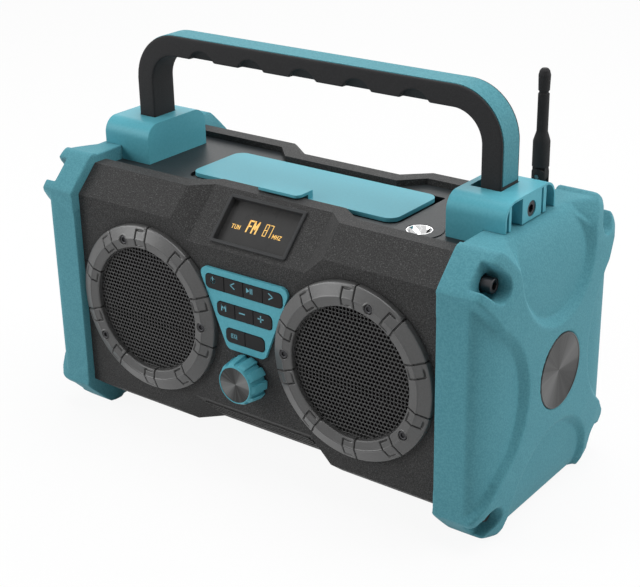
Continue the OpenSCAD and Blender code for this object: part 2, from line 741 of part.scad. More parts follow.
module lid_pin() color(steel) translate([0, lid_axis[0], lid_axis[1]])
    rod_x(lid_pin_r, -lid_ears[1], lid_ears[1]);

module lid_seal() color(rubber_black) slab_z(lid_base_z - 1.6, lid_base_z)
    translate([0, (lid_front_y + lid_axis[0] - 6) / 2]) difference() {
        rounded(lid_half - 2.5, (lid_axis[0] - 10 - lid_front_y) / 2, 6);
        rounded(lid_half - 5.5, (lid_axis[0] - 16 - lid_front_y) / 2, 4);
    }

module storage_tray() color(charcoal) {
    difference() {
        block(-opening_half - tray_wall, opening_half + tray_wall, opening_front_y - tray_wall,
            opening_rear_y + tray_wall, tray_base_z - tray_wall, panel_z);
        block(-opening_half, opening_half, opening_front_y, opening_rear_y, tray_base_z, panel_z + overshoot);
    }
    intersection() {
        difference() {
            block(-opening_half - 0.5, opening_half + 0.5, opening_front_y - 0.5, lid_axis[0] - 6,
                ledge_z - ledge_t, ledge_z);
            block(-opening_half + ledge_w, opening_half - ledge_w, opening_front_y + ledge_w, long,
                ledge_z - ledge_t - overshoot, ledge_z + overshoot);
        }
        union() {
            slab_z(ledge_z - ledge_t - overshoot, ledge_z + overshoot) lid_opening(fit);
            slab_z(ledge_z - ledge_t - overshoot, panel_z - 0.5) lid_opening(-0.5);
        }
    }
    for (s = [-1, 1]) difference() {
        union() {
            translate([0, lid_axis[0], lid_axis[1]]) rod_x(knuckle, ear_x(s) - 2.5, ear_x(s) + 2.5);
            block(ear_x(s) - 2.5, ear_x(s) + 2.5, lid_axis[0] - knuckle, lid_axis[0] + knuckle,
                lid_axis[1] - 12, lid_axis[1]);
            block(ear_x(s) - 2.5, ear_x(s) + 2.5, lid_axis[0] - knuckle, opening_rear_y + 0.5,
                lid_axis[1] - 12, lid_axis[1] - 6);
        }
        translate([0, lid_axis[0], lid_axis[1]]) rod_x(lid_pin_r + shaft_fit, -lid_half, lid_half);
    }
}

function ear_x(s) = s * (lid_ears[0] + lid_ears[1]) / 2;

module usb_socket() color(steel) difference() {
    block(-opening_half, -opening_half + 8, -14, 2, tray_base_z + 8, tray_base_z + 16.5);
    block(-opening_half + 0.8, -opening_half + 9, -12.6, 0.6, tray_base_z + 9.5, tray_base_z + 15);
}

// ---------- handle ----------
module arch(half, top, r) {
    translate([-half, handle_root_z]) square([2 * half, top - r - handle_root_z]);
    translate([-half + r, handle_root_z]) square([2 * (half - r), top - handle_root_z]);
    for (s = [-1, 1]) translate([s * (half - r), top - r]) intersection() {
        circle(r);
        translate([-r, 0]) square(2 * r);
    }
}

module handle_bar() color(charcoal) difference() {
    slab_y(bar_y - bar_depth / 2, bar_y + bar_depth / 2) difference() {
        arch(handle_half, handle_top, handle_corner);
        translate([0, -overshoot])
            arch(handle_inner_half, handle_top - bar_t + overshoot, handle_corner - bar_t);
    }
    slab_y(bar_y - inlay_w / 2 - 0.1, bar_y + inlay_w / 2 + 0.1) difference() {
        translate([0, mount_h - 3]) arch(handle_half + 1, handle_top - mount_h + 4, handle_corner);
        translate([0, -overshoot])
            arch(handle_half - inlay_t, handle_top - inlay_t + overshoot, handle_corner - inlay_t);
    }
    for (i = [0 : finger_count - 1])
        translate([finger_x + (i - (finger_count - 1) / 2) * finger_pitch, bar_front_y,
            handle_top - bar_t + finger_rise]) rotate([-finger_tilt, 0, 0]) translate([0, 0, -finger_r])
            rod_y(finger_r, -bar_depth, bar_depth);
    for (s = [-1, 1]) translate([0, bar_y, handle_screw_z])
        rod_x(handle_screw_r + screw_fit, s * handle_half - bar_t, s * handle_half + bar_t);
}

module handle_inlay() color(teal) slab_y(bar_y - inlay_w / 2, bar_y + inlay_w / 2) difference() {
    translate([0, mount_h - 3]) arch(handle_half + 0.2, handle_top - mount_h + 3.2, handle_corner + 0.2);
    arch(handle_half - inlay_t, handle_top - inlay_t, handle_corner - inlay_t);
}

module handle_mount(side, slot) color(teal) mirrored(side) difference() {
    translate([0, mount_y, 0]) {
        prism_x_shape(mount_inner_x, mount_outer_x) {
            translate([-mount_d / 2, floor_z]) square([mount_d, mount_h - mount_r]);
            translate([-mount_d / 2 + mount_r, floor_z]) square([mount_d - 2 * mount_r, mount_h]);
            for (s = [-1, 1]) translate([s * (mount_d / 2 - mount_r), mount_top_z - mount_r]) circle(mount_r);
        }
    }
    block(cap_x - fit, mount_outer_x + overshoot, -long, long, floor_z - overshoot, cap_height - rib_lift);
    block(handle_inner_half - fit - slot, handle_half + fit, bar_front_y - fit, bar_front_y + bar_depth + fit,
        handle_root_z, mount_top_z + overshoot);
    for (p = [[-mount_d / 2 + mount_rim, -26], [-23.4, -10.4], [12.8, 15.2], [18.8, mount_d / 2 - mount_rim]])
        mount_pocket(p[0], p[1]);
    translate([0, bar_y, handle_screw_z]) {
        rod_x(handle_screw_r + screw_fit, mount_inner_x + 4, mount_outer_x + overshoot);
        rod_x(handle_screw_head_r + screw_fit, mount_outer_x - 6, mount_outer_x + overshoot);
    }
}

// A pocket in the open outer side of a handle mount, under its rounded top
module mount_pocket(y0, y1) intersection() {
    block(mount_outer_x - 12, mount_outer_x + overshoot, mount_y + y0, mount_y + y1,
        cap_height - rib_lift - overshoot, mount_top_z - mount_rim);
    translate([0, mount_y, 0]) prism_x_shape(mount_inner_x, mount_outer_x + 2) {
        translate([-mount_d / 2 + mount_rim, floor_z]) square([mount_d - 2 * mount_rim, mount_h - mount_r]);
        translate([-mount_d / 2 + mount_r, floor_z]) square([mount_d - 2 * mount_r, mount_h]);
        for (s = [-1, 1]) translate([s * (mount_d / 2 - mount_r), mount_top_z - mount_r])
            circle(mount_r - mount_rim);
    }
}

module handle_screws() color(steel) right_and_left() translate([0, bar_y, handle_screw_z]) difference() {
    union() {
        rod_x(handle_screw_head_r, mount_outer_x - 6, mount_outer_x - 0.6);
        rod_x(handle_screw_r, handle_inner_half - 6, mount_outer_x - 6);
    }
    translate([mount_outer_x - 4.5, 0, 0]) rotate([0, 90, 0]) cylinder(r = 2.9, h = 5, $fn = 6);
}

// ---------- antenna ----------
module at_antenna() translate([antenna_at[0], antenna_at[1], 0]) children();

module antenna_base() color(rubber_black) at_antenna() {
    translate([0, 0, lip_z]) cylinder(r = knuckle_r, h = antenna_foot);
    translate([0, 0, lip_z + antenna_foot]) cylinder(r = spigot_r, h = 5);
}

module antenna_knuckle() color(rubber_black) at_antenna() difference() {
    union() {
        translate([0, 0, lip_z + antenna_foot + 0.1])
            cylinder(r = knuckle_r, h = fold_rise - antenna_foot - 0.1);
        intersection() {
            translate([0, 0, fold_z - 1]) cylinder(r = knuckle_r, h = knuckle_r + 1);
            translate([0, 0, fold_z]) rod_y(knuckle_r, -knuckle_r, knuckle_r);
        }
    }
    translate([0, 0, lip_z]) cylinder(r = spigot_r + shaft_fit, h = antenna_foot + 5.2);
    block(-knuckle_r - 1, knuckle_r + 1, -hub_half - 0.2, hub_half + 0.2,
        fold_z - knuckle_r + 0.6, fold_z + long);
    translate([0, 0, fold_z]) rod_y(pivot_pin_r + shaft_fit, -knuckle_r - 1, knuckle_r + 1);
}

module antenna_whip() color(rubber_black) at_antenna() difference() {
    union() {
        translate([0, 0, fold_z]) rod_y(knuckle_r - 1, -hub_half, hub_half);
        block(-knuckle_r + 1, knuckle_r - 1, -hub_half, hub_half, fold_z, fold_z + knuckle_r + 2);
        translate([0, 0, fold_z]) rotate_extrude() polygon([
            [0, knuckle_r + 0.6], [knuckle_r, knuckle_r + 0.6], [knuckle_r, whip_l * 0.33],
            [whip_r, whip_l * 0.42], [whip_r, whip_l * 0.77], [whip_r - 0.6, whip_l * 0.775],
            [whip_r - 0.6, whip_l * 0.795], [whip_r, whip_l * 0.8], [whip_r + 0.3, whip_l * 0.94],
            [whip_r - 0.4, whip_l * 0.98], [whip_r - 1.6, whip_l], [0, whip_l]]);
    }
    translate([0, 0, fold_z]) rod_y(pivot_pin_r + shaft_fit, -knuckle_r - 1, knuckle_r + 1);
}

module antenna_pin() color(steel) at_antenna() translate([0, 0, fold_z])
    rod_y(pivot_pin_r, -knuckle_r + 0.6, knuckle_r - 0.6);

// ---------- speakers ----------
module at_speaker(side) translate([side * speaker_x, 0, speaker_z]) children();

module speaker_ring(side) color(slate) difference() {
    at_speaker(side) translate([0, front_y, 0]) revolved_y([[rebate_r, 0], [ring_r, 0], [ring_r, ring_rim],
        [crest_r, ring_crest], [ring_bore, ring_crest - 0.3], [ring_bore, rebate_h], [rebate_r, rebate_h]]);
    at_ring_screws(side) {
        rod_y(ring_screw_head_r + 0.5, -long, front_y - ring_seat);
        rod_y(ring_screw_r + screw_fit, -long, front_y + overshoot);
    }
}

module grille(side) color(slate) at_speaker(side) translate([0, front_y, 0])
    revolved_y([[0, grille_lift], [grille_r - 2.2, grille_lift], [grille_r - 2.2, 0], [grille_r, 0],
        [grille_r, grille_lift + grille_t], [0, grille_lift + grille_t]]);

module ring_screws() color(steel) for (side = [-1, 1]) at_ring_screws(side) {
    difference() {
        rod_y(ring_screw_head_r, front_y - ring_seat - 2.4, front_y - ring_seat);
        translate([0, front_y - ring_seat - 1.4, 0]) rotate([90, 0, 0]) cylinder(r = 1.6, h = 2, $fn = 6);
    }
    rod_y(ring_screw_r, front_y - ring_seat, front_y - ring_seat + ring_screw_l);
}

module speaker_basket(side) color(rubber_black) difference() {
    at_speaker(side) translate([0, inner_front_y, 0]) revolved_y([[surround_r + 0.2, 0], [basket_r, 0],
        [basket_r, -2], [surround_r + 2.5, -2], [magnet_r - 0.5, -throat + 4], [magnet_r - 0.5, -throat],
        [coil_r + 1, -throat], [coil_r + 1, -throat + 1.5], [magnet_r - 2, -throat + 1.5],
        [magnet_r - 2, -throat + 4.5], [surround_r + 0.2, -1.5]]);
    at_ring_screws(side) rod_y(ring_screw_r + screw_fit, inner_front_y - overshoot, inner_front_y + 6);
}

module speaker_magnets() color(steel) for (side = [-1, 1]) at_speaker(side) translate([0, inner_front_y, 0])
    revolved_y([[coil_r + 1, -throat], [magnet_r, -throat], [magnet_r, -throat - magnet_t],
        [0, -throat - magnet_t], [0, -throat - magnet_t + 3], [coil_r + 1, -throat - magnet_t + 3]]);

module speaker_surrounds() color(rubber_black) for (side = [-1, 1]) at_speaker(side)
    translate([0, inner_front_y, 0]) revolved_y([[cone_r + 0.3, -3], [cone_r + 0.9, -0.9], [cone_r + 2.3, 0],
        [surround_r - 0.2, 0], [surround_r - 0.2, -1.2], [cone_r + 2.4, -1.3], [cone_r + 1.2, -3]]);

module speaker_cone(side) color(charcoal) at_speaker(side) translate([0, inner_front_y, 0])
    revolved_y([[0, -9], [6, -10.5], [12.5, -15.5], [cone_r - 1, -3.5], [cone_r, -3.5], [cone_r, -4.7],
        [coil_r + 2, -21], [coil_r, -21], [coil_r, -throat - 7], [coil_r - 1, -throat - 7], [coil_r - 1, -17],
        [5.5, -11.7], [0, -10.2]]);

// ---------- display ----------
// Local frame on the display bay: X along the radio, Y up the slope, Z out of the bay floor
module on_bay() translate([0, front_y, lip_z]) rotate([panel_tilt, 0, 0]) children();

module display_bezel() color(slate) on_bay() difference() {
    union() {
        translate([0, 0, bay_root]) linear_extrude(bezel_h) rounded(bezel_half, bezel_rise, 1.6);
        block(-window_half + 0.1, window_half - 0.1, -window_rise + 0.1, window_rise - 0.1,
            bay_root - wall, bay_root + 0.5);
    }
    block(-screen_half, screen_half, -screen_rise, screen_rise, bay_root - 10, bay_root + 10);
}

module display_lens() color([0.15, 0.15, 0.16]) on_bay()
    block(-window_half - 1, window_half + 1, -window_rise - 1, window_rise + 1,
        bay_root - wall - lens_t, bay_root - wall);

module display_module() color(board_green) on_bay()
    block(-window_half - 4, window_half + 4, -window_rise - 1, window_rise + 1,
        bay_root - wall - lens_t - module_t, bay_root - wall - lens_t);

// ---------- keypad ----------
module key_row(i, d) translate([0, row_z[i]]) rounded(row_half[i] + d, key_h / 2 + d, key_corner);

module key_windows(d) slab_y(front_y - keypad_t - overshoot, inner_front_y + overshoot)
    for (i = [0 : 2]) key_row(i, d);

module plate_outline() {
    c = 5;
    lean = (keypad_half - keypad_foot) / (keypad_top - keypad_base - 2 * c);
    for (s = [-1, 1]) {
        translate([s * (keypad_half - c), keypad_top - c]) circle(c);
        translate([s * (keypad_foot - c), keypad_base + c]) circle(c);
    }
    n = sqrt(1 + lean * lean);
    off = [c / n, -c * lean / n];
    polygon([[-keypad_half + c, keypad_top], [keypad_half - c, keypad_top],
        [keypad_half - c + off[0], keypad_top - c + off[1]],
        [keypad_foot - c + off[0], keypad_base + c + off[1]],
        [keypad_foot - c, keypad_base], [-keypad_foot + c, keypad_base],
        [-keypad_foot + c - off[0], keypad_base + c + off[1]],
        [-keypad_half + c - off[0], keypad_top - c + off[1]]]);
}

module keypad_plate() color(teal) difference() {
    slab_y(front_y - keypad_t, front_y) plate_outline();
    key_windows(0.1);
}

function key_width(row) = 2 * row_half[row] / row_keys[row];

module key(row, column) color(rubber_black) {
    x0 = -row_half[row] + column * key_width(row);
    cut_l = column == 0 ? key_gap : key_split / 2;
    cut_r = column == row_keys[row] - 1 ? key_gap : key_split / 2;
    slab_y(front_y - key_lift, key_back_y) intersection() {
        key_row(row, -key_gap);
        translate([x0 + cut_l, row_z[row] - key_h]) square([key_width(row) - cut_l - cut_r, 2 * key_h]);
    }
    block(x0 + 0.8, x0 + key_width(row) - 0.8, inner_front_y + 0.2, key_back_y,
        row_z[row] - key_h / 2 - key_flange, row_z[row] + key_h / 2 + key_flange);
}

module keypad_board() color(board_green) difference() {
    block(-board_half, board_half, board_y, board_y + board_t, knob_z - 9, board_top_z);
    translate([0, 0, knob_z]) rod_y(shaft_r + 1.2, board_y - overshoot, board_y + board_t + overshoot);
}

// ---------- knob ----------
module tuning_knob() color(teal) translate([0, 0, knob_z]) difference() {
    union() {
        translate([0, knob_y, 0]) revolved_y([[0, 0], [knob_r - 1.4, 0], [knob_front_r - 0.9, knob_l - 0.6],
            [knob_front_r - 1.4, knob_l], [0, knob_l]]);
        intersection() {
            translate([0, knob_y, 0]) revolved_y([[0, 0], [knob_r, 0], [knob_front_r, knob_l - 2.4],
                [knob_front_r - 0.8, knob_l - 1.2], [0, knob_l - 1.2]]);
            for (i = [0 : knob_lobes - 1]) rotate([0, i * 360 / knob_lobes, 0])
                prism_y([[0, 0], [20 * sin(11), 20 * cos(11)], [-20 * sin(11), 20 * cos(11)]],
                    knob_face_y - 1, knob_y + 1);
        }
    }
    translate([0, knob_face_y, 0]) rod_y(knob_front_r - 1.8, -overshoot, 1);
    rod_y(shaft_r, knob_y - knob_l + 4, knob_y + overshoot);
}

module knob_face() color(slate) translate([0, knob_face_y, knob_z]) rod_y(knob_front_r - 1.9, -0.3, 1);

module knob_shaft() color(steel) translate([0, 0, knob_z])
    rod_y(shaft_r, knob_y - knob_l + 4, board_y + board_t + 3);

module encoder() color(steel) difference() {
    block(-7, 7, board_y + board_t, board_y + board_t + 7, knob_z - 7, knob_z + 7);
    translate([0, 0, knob_z]) rod_y(shaft_r + shaft_fit, board_y, board_y + board_t + 3.2);
}

// ---------- rear ----------
module battery_door() color(charcoal) difference() {
    union() {
        prism_x([[rear_y + 0.5, door_z], [door_axis[0], door_z - door_barrel_r],
            [rear_y + door_reach - 4, door_z + 1], [rear_y + door_reach, door_z + 7],
            [rear_y + door_reach, door_z + door_h - 8], [rear_y + 4, door_z + door_h],
            [rear_y + 0.5, door_z + door_h]], -door_half, door_half);
        translate([0, door_axis[0], door_z]) {
            rod_x(door_barrel_r, -door_half, door_half);
            rod_x(door_pin_r, -door_half - 7, door_half + 7);
        }
    }
    block(-bay_box_half, bay_box_half, rear_y - 1, rear_y + door_reach - wall,
        bay_box_z[0] - 2.2, bay_box_z[1] - 6);
    for (z = [door_z + 22 : 9 : door_z + 49]) block(-door_half + 12, door_half - 12,
        rear_y + door_reach - 1, rear_y + door_reach + 1, z, z + 3);
}

module battery_pack() color(charcoal)
    block(-bay_box_half + 0.6, bay_box_half - 0.6, bay_box_y, rear_y + door_reach - wall - 1.5,
        bay_box_z[0], bay_box_z[1] - 6.8);

module port_flap() color(rubber_black) translate([flap_at[0], 0, flap_at[1]]) {
    block(-flap_half, flap_half, rear_y + 0.3, rear_y + 2.3, -flap_h / 2, flap_h / 2 - 2.4);
    translate([0, rear_y + 1.7, flap_h / 2 - 1]) rod_x(1.4, -flap_half, flap_half);
    translate([0, rear_y + 1.7, flap_h / 2 - 1]) rod_x(0.8, -flap_half - 3, flap_half + 3);
    block(-flap_half, flap_half, rear_y + 0.8, rear_y + 2.3, flap_h / 2 - 3, flap_h / 2 - 1.5);
}

module power_jack() color(rubber_black) translate([flap_at[0], 0, flap_at[1]]) difference() {
    union() {
        rod_y(jack_r, rear_y - 14, rear_y);
        rod_y(jack_r + 2, rear_y - wall - 2, rear_y - wall);
    }
    rod_y(jack_bore_r, rear_y - 10, rear_y + overshoot);
}

module main_board() color(board_green)
    block(-main_board_half, main_board_half, bay_box_y - wall - main_board_gap - board_t,
        bay_box_y - wall - main_board_gap, main_board_z - 26, main_board_z + 35);

module housing_screws() color(steel) for (p = screw_posts) translate([p[0], 0, p[1]]) {
    rod_y(1.4, parting_y - 18, parting_y + 12);
    rod_y(3, parting_y + 12, parting_y + 15);
}

front_housing();
rear_housing();
top_panel();
end_cap(-1);  // left_end_cap
end_cap(1);  // right_end_cap
medallion(-1);  // left_medallion
medallion(1);  // right_medallion
cap_screws();
handle_bar();
handle_inlay();
handle_mount(-1, 0);  // left_handle_mount
handle_mount(1, 6.5);  // right_handle_mount
handle_screws();
antenna_base();
antenna_knuckle();
antenna_whip();
antenna_pin();
speaker_ring(-1);  // left_speaker_ring
speaker_ring(1);  // right_speaker_ring
grille(-1);  // left_grille
grille(1);  // right_grille
ring_screws();
speaker_basket(-1);  // left_speaker_basket
speaker_basket(1);  // right_speaker_basket
speaker_cone(-1);  // left_speaker_cone
speaker_cone(1);  // right_speaker_cone
speaker_magnets();
speaker_surrounds();
display_bezel();
display_lens();
display_module();
keypad_plate();
key(0, 0);  // power_key
key(0, 1);  // back_key
key(0, 2);  // play_key
key(0, 3);  // forward_key
key(1, 0);  // mode_key
key(1, 1);  // volume_down_key
key(1, 2);  // volume_up_key
key(2, 0);  // equalizer_key
key(2, 1);  // option_key
keypad_board();
tuning_knob();
knob_face();
knob_shaft();
encoder();
lid();
lid_pin();
lid_seal();
storage_tray();
usb_socket();
lamp_ring();
lamp_reflector();
lamp_lens();
battery_door();
battery_pack();
port_flap();
power_jack();
main_board();
housing_screws();
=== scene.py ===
import json
import math
from contextlib import contextmanager

import bmesh
import bpy
import numpy as np
from mathutils import Matrix, Vector

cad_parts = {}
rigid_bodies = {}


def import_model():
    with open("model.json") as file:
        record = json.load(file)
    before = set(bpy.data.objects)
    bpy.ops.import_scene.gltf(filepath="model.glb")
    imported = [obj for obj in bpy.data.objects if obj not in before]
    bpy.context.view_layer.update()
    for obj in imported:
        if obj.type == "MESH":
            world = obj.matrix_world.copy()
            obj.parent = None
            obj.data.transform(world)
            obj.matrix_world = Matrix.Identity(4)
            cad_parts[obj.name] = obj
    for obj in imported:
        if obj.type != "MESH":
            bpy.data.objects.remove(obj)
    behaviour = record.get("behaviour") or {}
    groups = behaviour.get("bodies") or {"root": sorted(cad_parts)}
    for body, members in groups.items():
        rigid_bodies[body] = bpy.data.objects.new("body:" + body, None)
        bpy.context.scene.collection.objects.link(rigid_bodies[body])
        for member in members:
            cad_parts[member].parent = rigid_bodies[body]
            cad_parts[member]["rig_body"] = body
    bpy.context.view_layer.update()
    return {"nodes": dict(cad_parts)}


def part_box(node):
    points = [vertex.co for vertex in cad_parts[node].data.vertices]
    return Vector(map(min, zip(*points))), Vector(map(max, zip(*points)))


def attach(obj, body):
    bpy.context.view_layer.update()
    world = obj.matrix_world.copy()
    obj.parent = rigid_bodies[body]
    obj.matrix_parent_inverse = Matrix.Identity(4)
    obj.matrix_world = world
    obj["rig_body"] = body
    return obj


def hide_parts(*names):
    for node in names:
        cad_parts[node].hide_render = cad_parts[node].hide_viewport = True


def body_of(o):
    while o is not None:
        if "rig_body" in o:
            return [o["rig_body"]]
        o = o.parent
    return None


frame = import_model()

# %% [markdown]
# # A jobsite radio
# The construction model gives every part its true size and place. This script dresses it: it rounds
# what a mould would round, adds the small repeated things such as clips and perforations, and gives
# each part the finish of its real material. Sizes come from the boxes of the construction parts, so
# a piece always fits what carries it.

MM = 0.001
nodes = frame["nodes"]


def box_mm(name):
    """Lowest and highest corner of a construction part, in millimetres."""
    low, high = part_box(name)
    return np.array(low) / MM, np.array(high) / MM


# %% [markdown]
# ## Trees of nodes
# A finish is a small network of nodes. Written node by node it is hard to read, so one class wraps
# a socket and lets Python's own operators add the Math nodes: `1 - mask` becomes a subtraction.
# A second class adds any other node by its type. It serves materials, the world and Geometry Nodes,
# because all three are trees of nodes.


# %% A wrapped socket
class Number:
    """A number in a tree of nodes; arithmetic on it adds Math nodes."""

    def __init__(self, network, socket):
        self.network, self.socket = network, socket

    def __add__(self, other):
        return self.network.maths("ADD", self, other)

    def __sub__(self, other):
        return self.network.maths("SUBTRACT", self, other)

    def __rsub__(self, other):
        return self.network.maths("SUBTRACT", other, self)

    def __mul__(self, other):
        return self.network.maths("MULTIPLY", self, other)

    def __truediv__(self, other):
        return self.network.maths("DIVIDE", self, other)

    def __pow__(self, other):
        return self.network.maths("POWER", self, other)

    __radd__ = __add__
    __rmul__ = __mul__

    def between(self, low, high):
        """0 below low, 1 above high and a soft step in between."""
        settings = {"interpolation_type": "SMOOTHSTEP"}
        sockets = {"Value": self, "From Min": low, "From Max": high}
        return Number(self.network, self.network.add("ShaderNodeMapRange", settings, sockets).outputs[0])


# %% A tree of nodes
class Network:
    """A tree of nodes, filled one node at a time."""

    def __init__(self, tree):
        self.tree = tree
        self.tree.nodes.clear()

    def add(self, kind, settings=(), sockets=()):
        """Adds a node: its settings first, then the values or links of its sockets."""
        node = self.tree.nodes.new(kind)
        for key, value in dict(settings).items():
            setattr(node, key, value)
        for key, value in dict(sockets).items():
            value = value.socket if isinstance(value, Number) else value
            if isinstance(value, bpy.types.NodeSocket):
                self.tree.links.new(value, node.inputs[key])
            else:
                node.inputs[key].default_value = value
        return node

    def maths(self, operation, *values):
        """Adds a Math node."""
        node = self.add("ShaderNodeMath", {"operation": operation}, enumerate(values))
        return Number(self, node.outputs[0])

    def coordinates(self, at):
        """The three coordinates of a place as numbers."""
        return [Number(self, out) for out in self.add("ShaderNodeSeparateXYZ", {}, {0: at}).outputs]


# %% A finish
class Finish(Network):
    """One material, built node by node."""

    def __init__(self, name):
        self.material = bpy.data.materials.new(name)
        self.material.use_nodes = True
        super().__init__(self.material.node_tree)
        self.place = self.add("ShaderNodeTexCoord").outputs["Object"]

    def noise(self, size_mm, detail=2.0):
        """Cloudy variation from 0 to 1, with lumps of about that size."""
        sockets = {"Vector": self.place, "Scale": 1 / (size_mm * MM), "Detail": detail}
        return Number(self, self.add("ShaderNodeTexNoise", {}, sockets).outputs["Fac"])

    def streaks(self, along, detail):
        """Variation from 0 to 1 that follows a single number."""
        sockets = {"W": along, "Scale": 1.0, "Detail": detail}
        node = self.add("ShaderNodeTexNoise", {"noise_dimensions": "1D"}, sockets)
        return Number(self, node.outputs["Fac"])

    def blend(self, share, first, second):
        """A colour between two others."""
        node = self.add("ShaderNodeMix", {"data_type": "RGBA"}, {0: share, 6: first, 7: second})
        return node.outputs[2]

    def relief(self, height, depth_mm):
        """The surface direction of a height that runs from 0 to 1 over depth_mm."""
        sockets = {"Height": height, "Distance": depth_mm * MM, "Strength": 1.0}
        return self.add("ShaderNodeBump", {}, sockets).outputs["Normal"]

    def surface(self, **sockets):
        """Ends the material in one Principled shader."""
        names = {key.replace("_", " "): value for key, value in sockets.items()}
        shader = self.add("ShaderNodeBsdfPrincipled", {}, names)
        self.add("ShaderNodeOutputMaterial", {}, {"Surface": shader.outputs["BSDF"]})
        return self.material


def tone(red, green, blue):
    """A colour given as screen values from 0 to 255, as the linear colour that shaders use."""
    def straight(value):
        value /= 255
        return value / 12.92 if value <= 0.04045 else ((value + 0.055) / 1.055) ** 2.4
    return (straight(red), straight(green), straight(blue), 1.0)


# %% [markdown]
# ## Moulded plastics
# The armour is a dense moulded plastic with a fine spark-eroded grain; the housing is the same kind
# of plastic filled with dark pigment and lighter flecks. Two noises do both: a fine one for the
# grain, in colour and relief, and a broad one so that large faces are never one flat colour.


# %% Grained plastics
BROAD_MM = 38.0  # lumps of the broad noise
FLECK_SHARE = 0.33  # how far a fleck turns the pigment to its own colour


def grained(name, base, shift, grain_mm, depth_mm, rough, sheen, fleck=None):
    """A moulded plastic: its colour, how far the grain shifts it, and its rare light flecks."""
    f = Finish(name)
    grain = f.noise(grain_mm, 3.0)
    broad = f.noise(BROAD_MM)
    low = tone(*[max(0, c - shift) for c in base])
    high = tone(*[min(255, c + shift) for c in base])
    colour = f.blend(grain.between(0.34, 0.66) * 0.8 + broad * 0.3 - 0.05, low, high)
    if fleck:
        spots = f.noise(grain_mm * 1.15, 1.0).between(0.54, 0.72)
        colour = f.blend(spots * FLECK_SHARE, colour, tone(*fleck))
    return f.surface(
        Base_Color=colour,
        Roughness=rough + (grain - 0.5) * 0.18,
        Specular_IOR_Level=sheen,
        Normal=f.relief(grain, depth_mm),
    )


coarse = {"grain_mm": 1.1, "depth_mm": 0.12, "rough": 0.62, "sheen": 0.12}
teal = grained("teal_plastic", (84, 145, 157), 8, **coarse)
teal_gloss = grained("teal_painted", (90, 168, 183), 3, 1.4, 0.008, rough=0.4, sheen=0.14)
flecks = (116, 116, 116)
charcoal = grained("charcoal_plastic", (50, 50, 50), 13, 0.7, 0.3, rough=0.62, sheen=0.16, fleck=flecks)
smooth_dark = grained("smooth_dark_plastic", (36, 40, 42), 2, 1.2, 0.01, rough=0.42, sheen=0.2)
ring_grey = grained("ring_grey_plastic", (80, 80, 80), 3, 1.1, 0.012, rough=0.33, sheen=0.5)
bezel_dark = grained("bezel_plastic", (56, 57, 58), 2, 1.2, 0.01, rough=0.5, sheen=0.15)
strip = grained("handle_strip", (80, 140, 151), 9, 1.3, 0.12, rough=0.62, sheen=0.12)
screen = grained("screen_window", (64, 64, 64), 1, 9.0, 0.001, rough=0.3, sheen=0.1)
plastics = [teal, teal_gloss, charcoal, smooth_dark, ring_grey, bezel_dark, strip, screen]
print("plastics:", [m.name for m in plastics])

# %% [markdown]
# ## Rubber, paper and clear plastic
# The same two noises make the softer materials too: rubber is dull, and the paper of the cones is
# rough and almost black. Only the lamp's window is clear, with a faint haze as on any used one.

# %% Softer materials
rubber = grained("black_rubber", (47, 47, 48), 4, 0.7, 0.04, rough=0.66, sheen=0.12)
key_rubber = grained("key_rubber", (36, 36, 37), 3, 0.9, 0.015, rough=0.55, sheen=0.15)
board = grained("circuit_board", (32, 88, 52), 8, 6.0, 0.01, rough=0.35, sheen=0.5)
paper = grained("cone_paper", (16, 16, 16), 4, 0.5, 0.06, rough=0.9, sheen=0.05)


def clear_window(name):
    """Clear plastic with a faint haze."""
    f = Finish(name)
    haze = f.noise(3.0, 1.0)
    return f.surface(
        Base_Color=f.blend(haze, (0.95, 0.95, 0.95, 1), (1, 1, 1, 1)),
        Roughness=haze * 0.05 + 0.02,
        IOR=1.45,
        Transmission_Weight=1.0,
    )


glass = clear_window("lamp_window")
print("softer materials:", [m.name for m in (rubber, key_rubber, board, paper, glass)])

# %% [markdown]
# ## Metals
# Screws are blackened steel, the grille is painted sheet steel, and the lamp's reflector is plated.
# The knob's face and the medallions are spun discs: turning leaves fine circles, and two wedges of
# highlight are painted into their colour. The painted wedges follow the angle around the disc's own axis.


# %% Plain metals
def metal(name, base, rough, scratch_mm=2.5, metallic=1.0):
    """A metal whose gloss changes a little from place to place."""
    f = Finish(name)
    wear = f.noise(scratch_mm, 4.0)
    low = tone(*[c * 0.9 for c in base])
    return f.surface(
        Base_Color=f.blend(wear, low, tone(*base)),
        Roughness=rough + (wear - 0.5) * 0.16,
        Metallic=metallic,
        Normal=f.relief(wear, 0.01),
    )


oxide = metal("blackened_steel", (70, 70, 72), 0.42)
steel = metal("bright_steel", (160, 160, 162), 0.32)
chrome = metal("plated_reflector", (225, 225, 225), 0.06)
grille_paint = metal("grille_paint", (66, 66, 66), 0.38, scratch_mm=1.2, metallic=0.0)


# %% Spun discs
MARKS = 2600.0  # turning marks along a metre of radius
PAINTED_RAYS = 3.0  # unevenness of the light around the disc


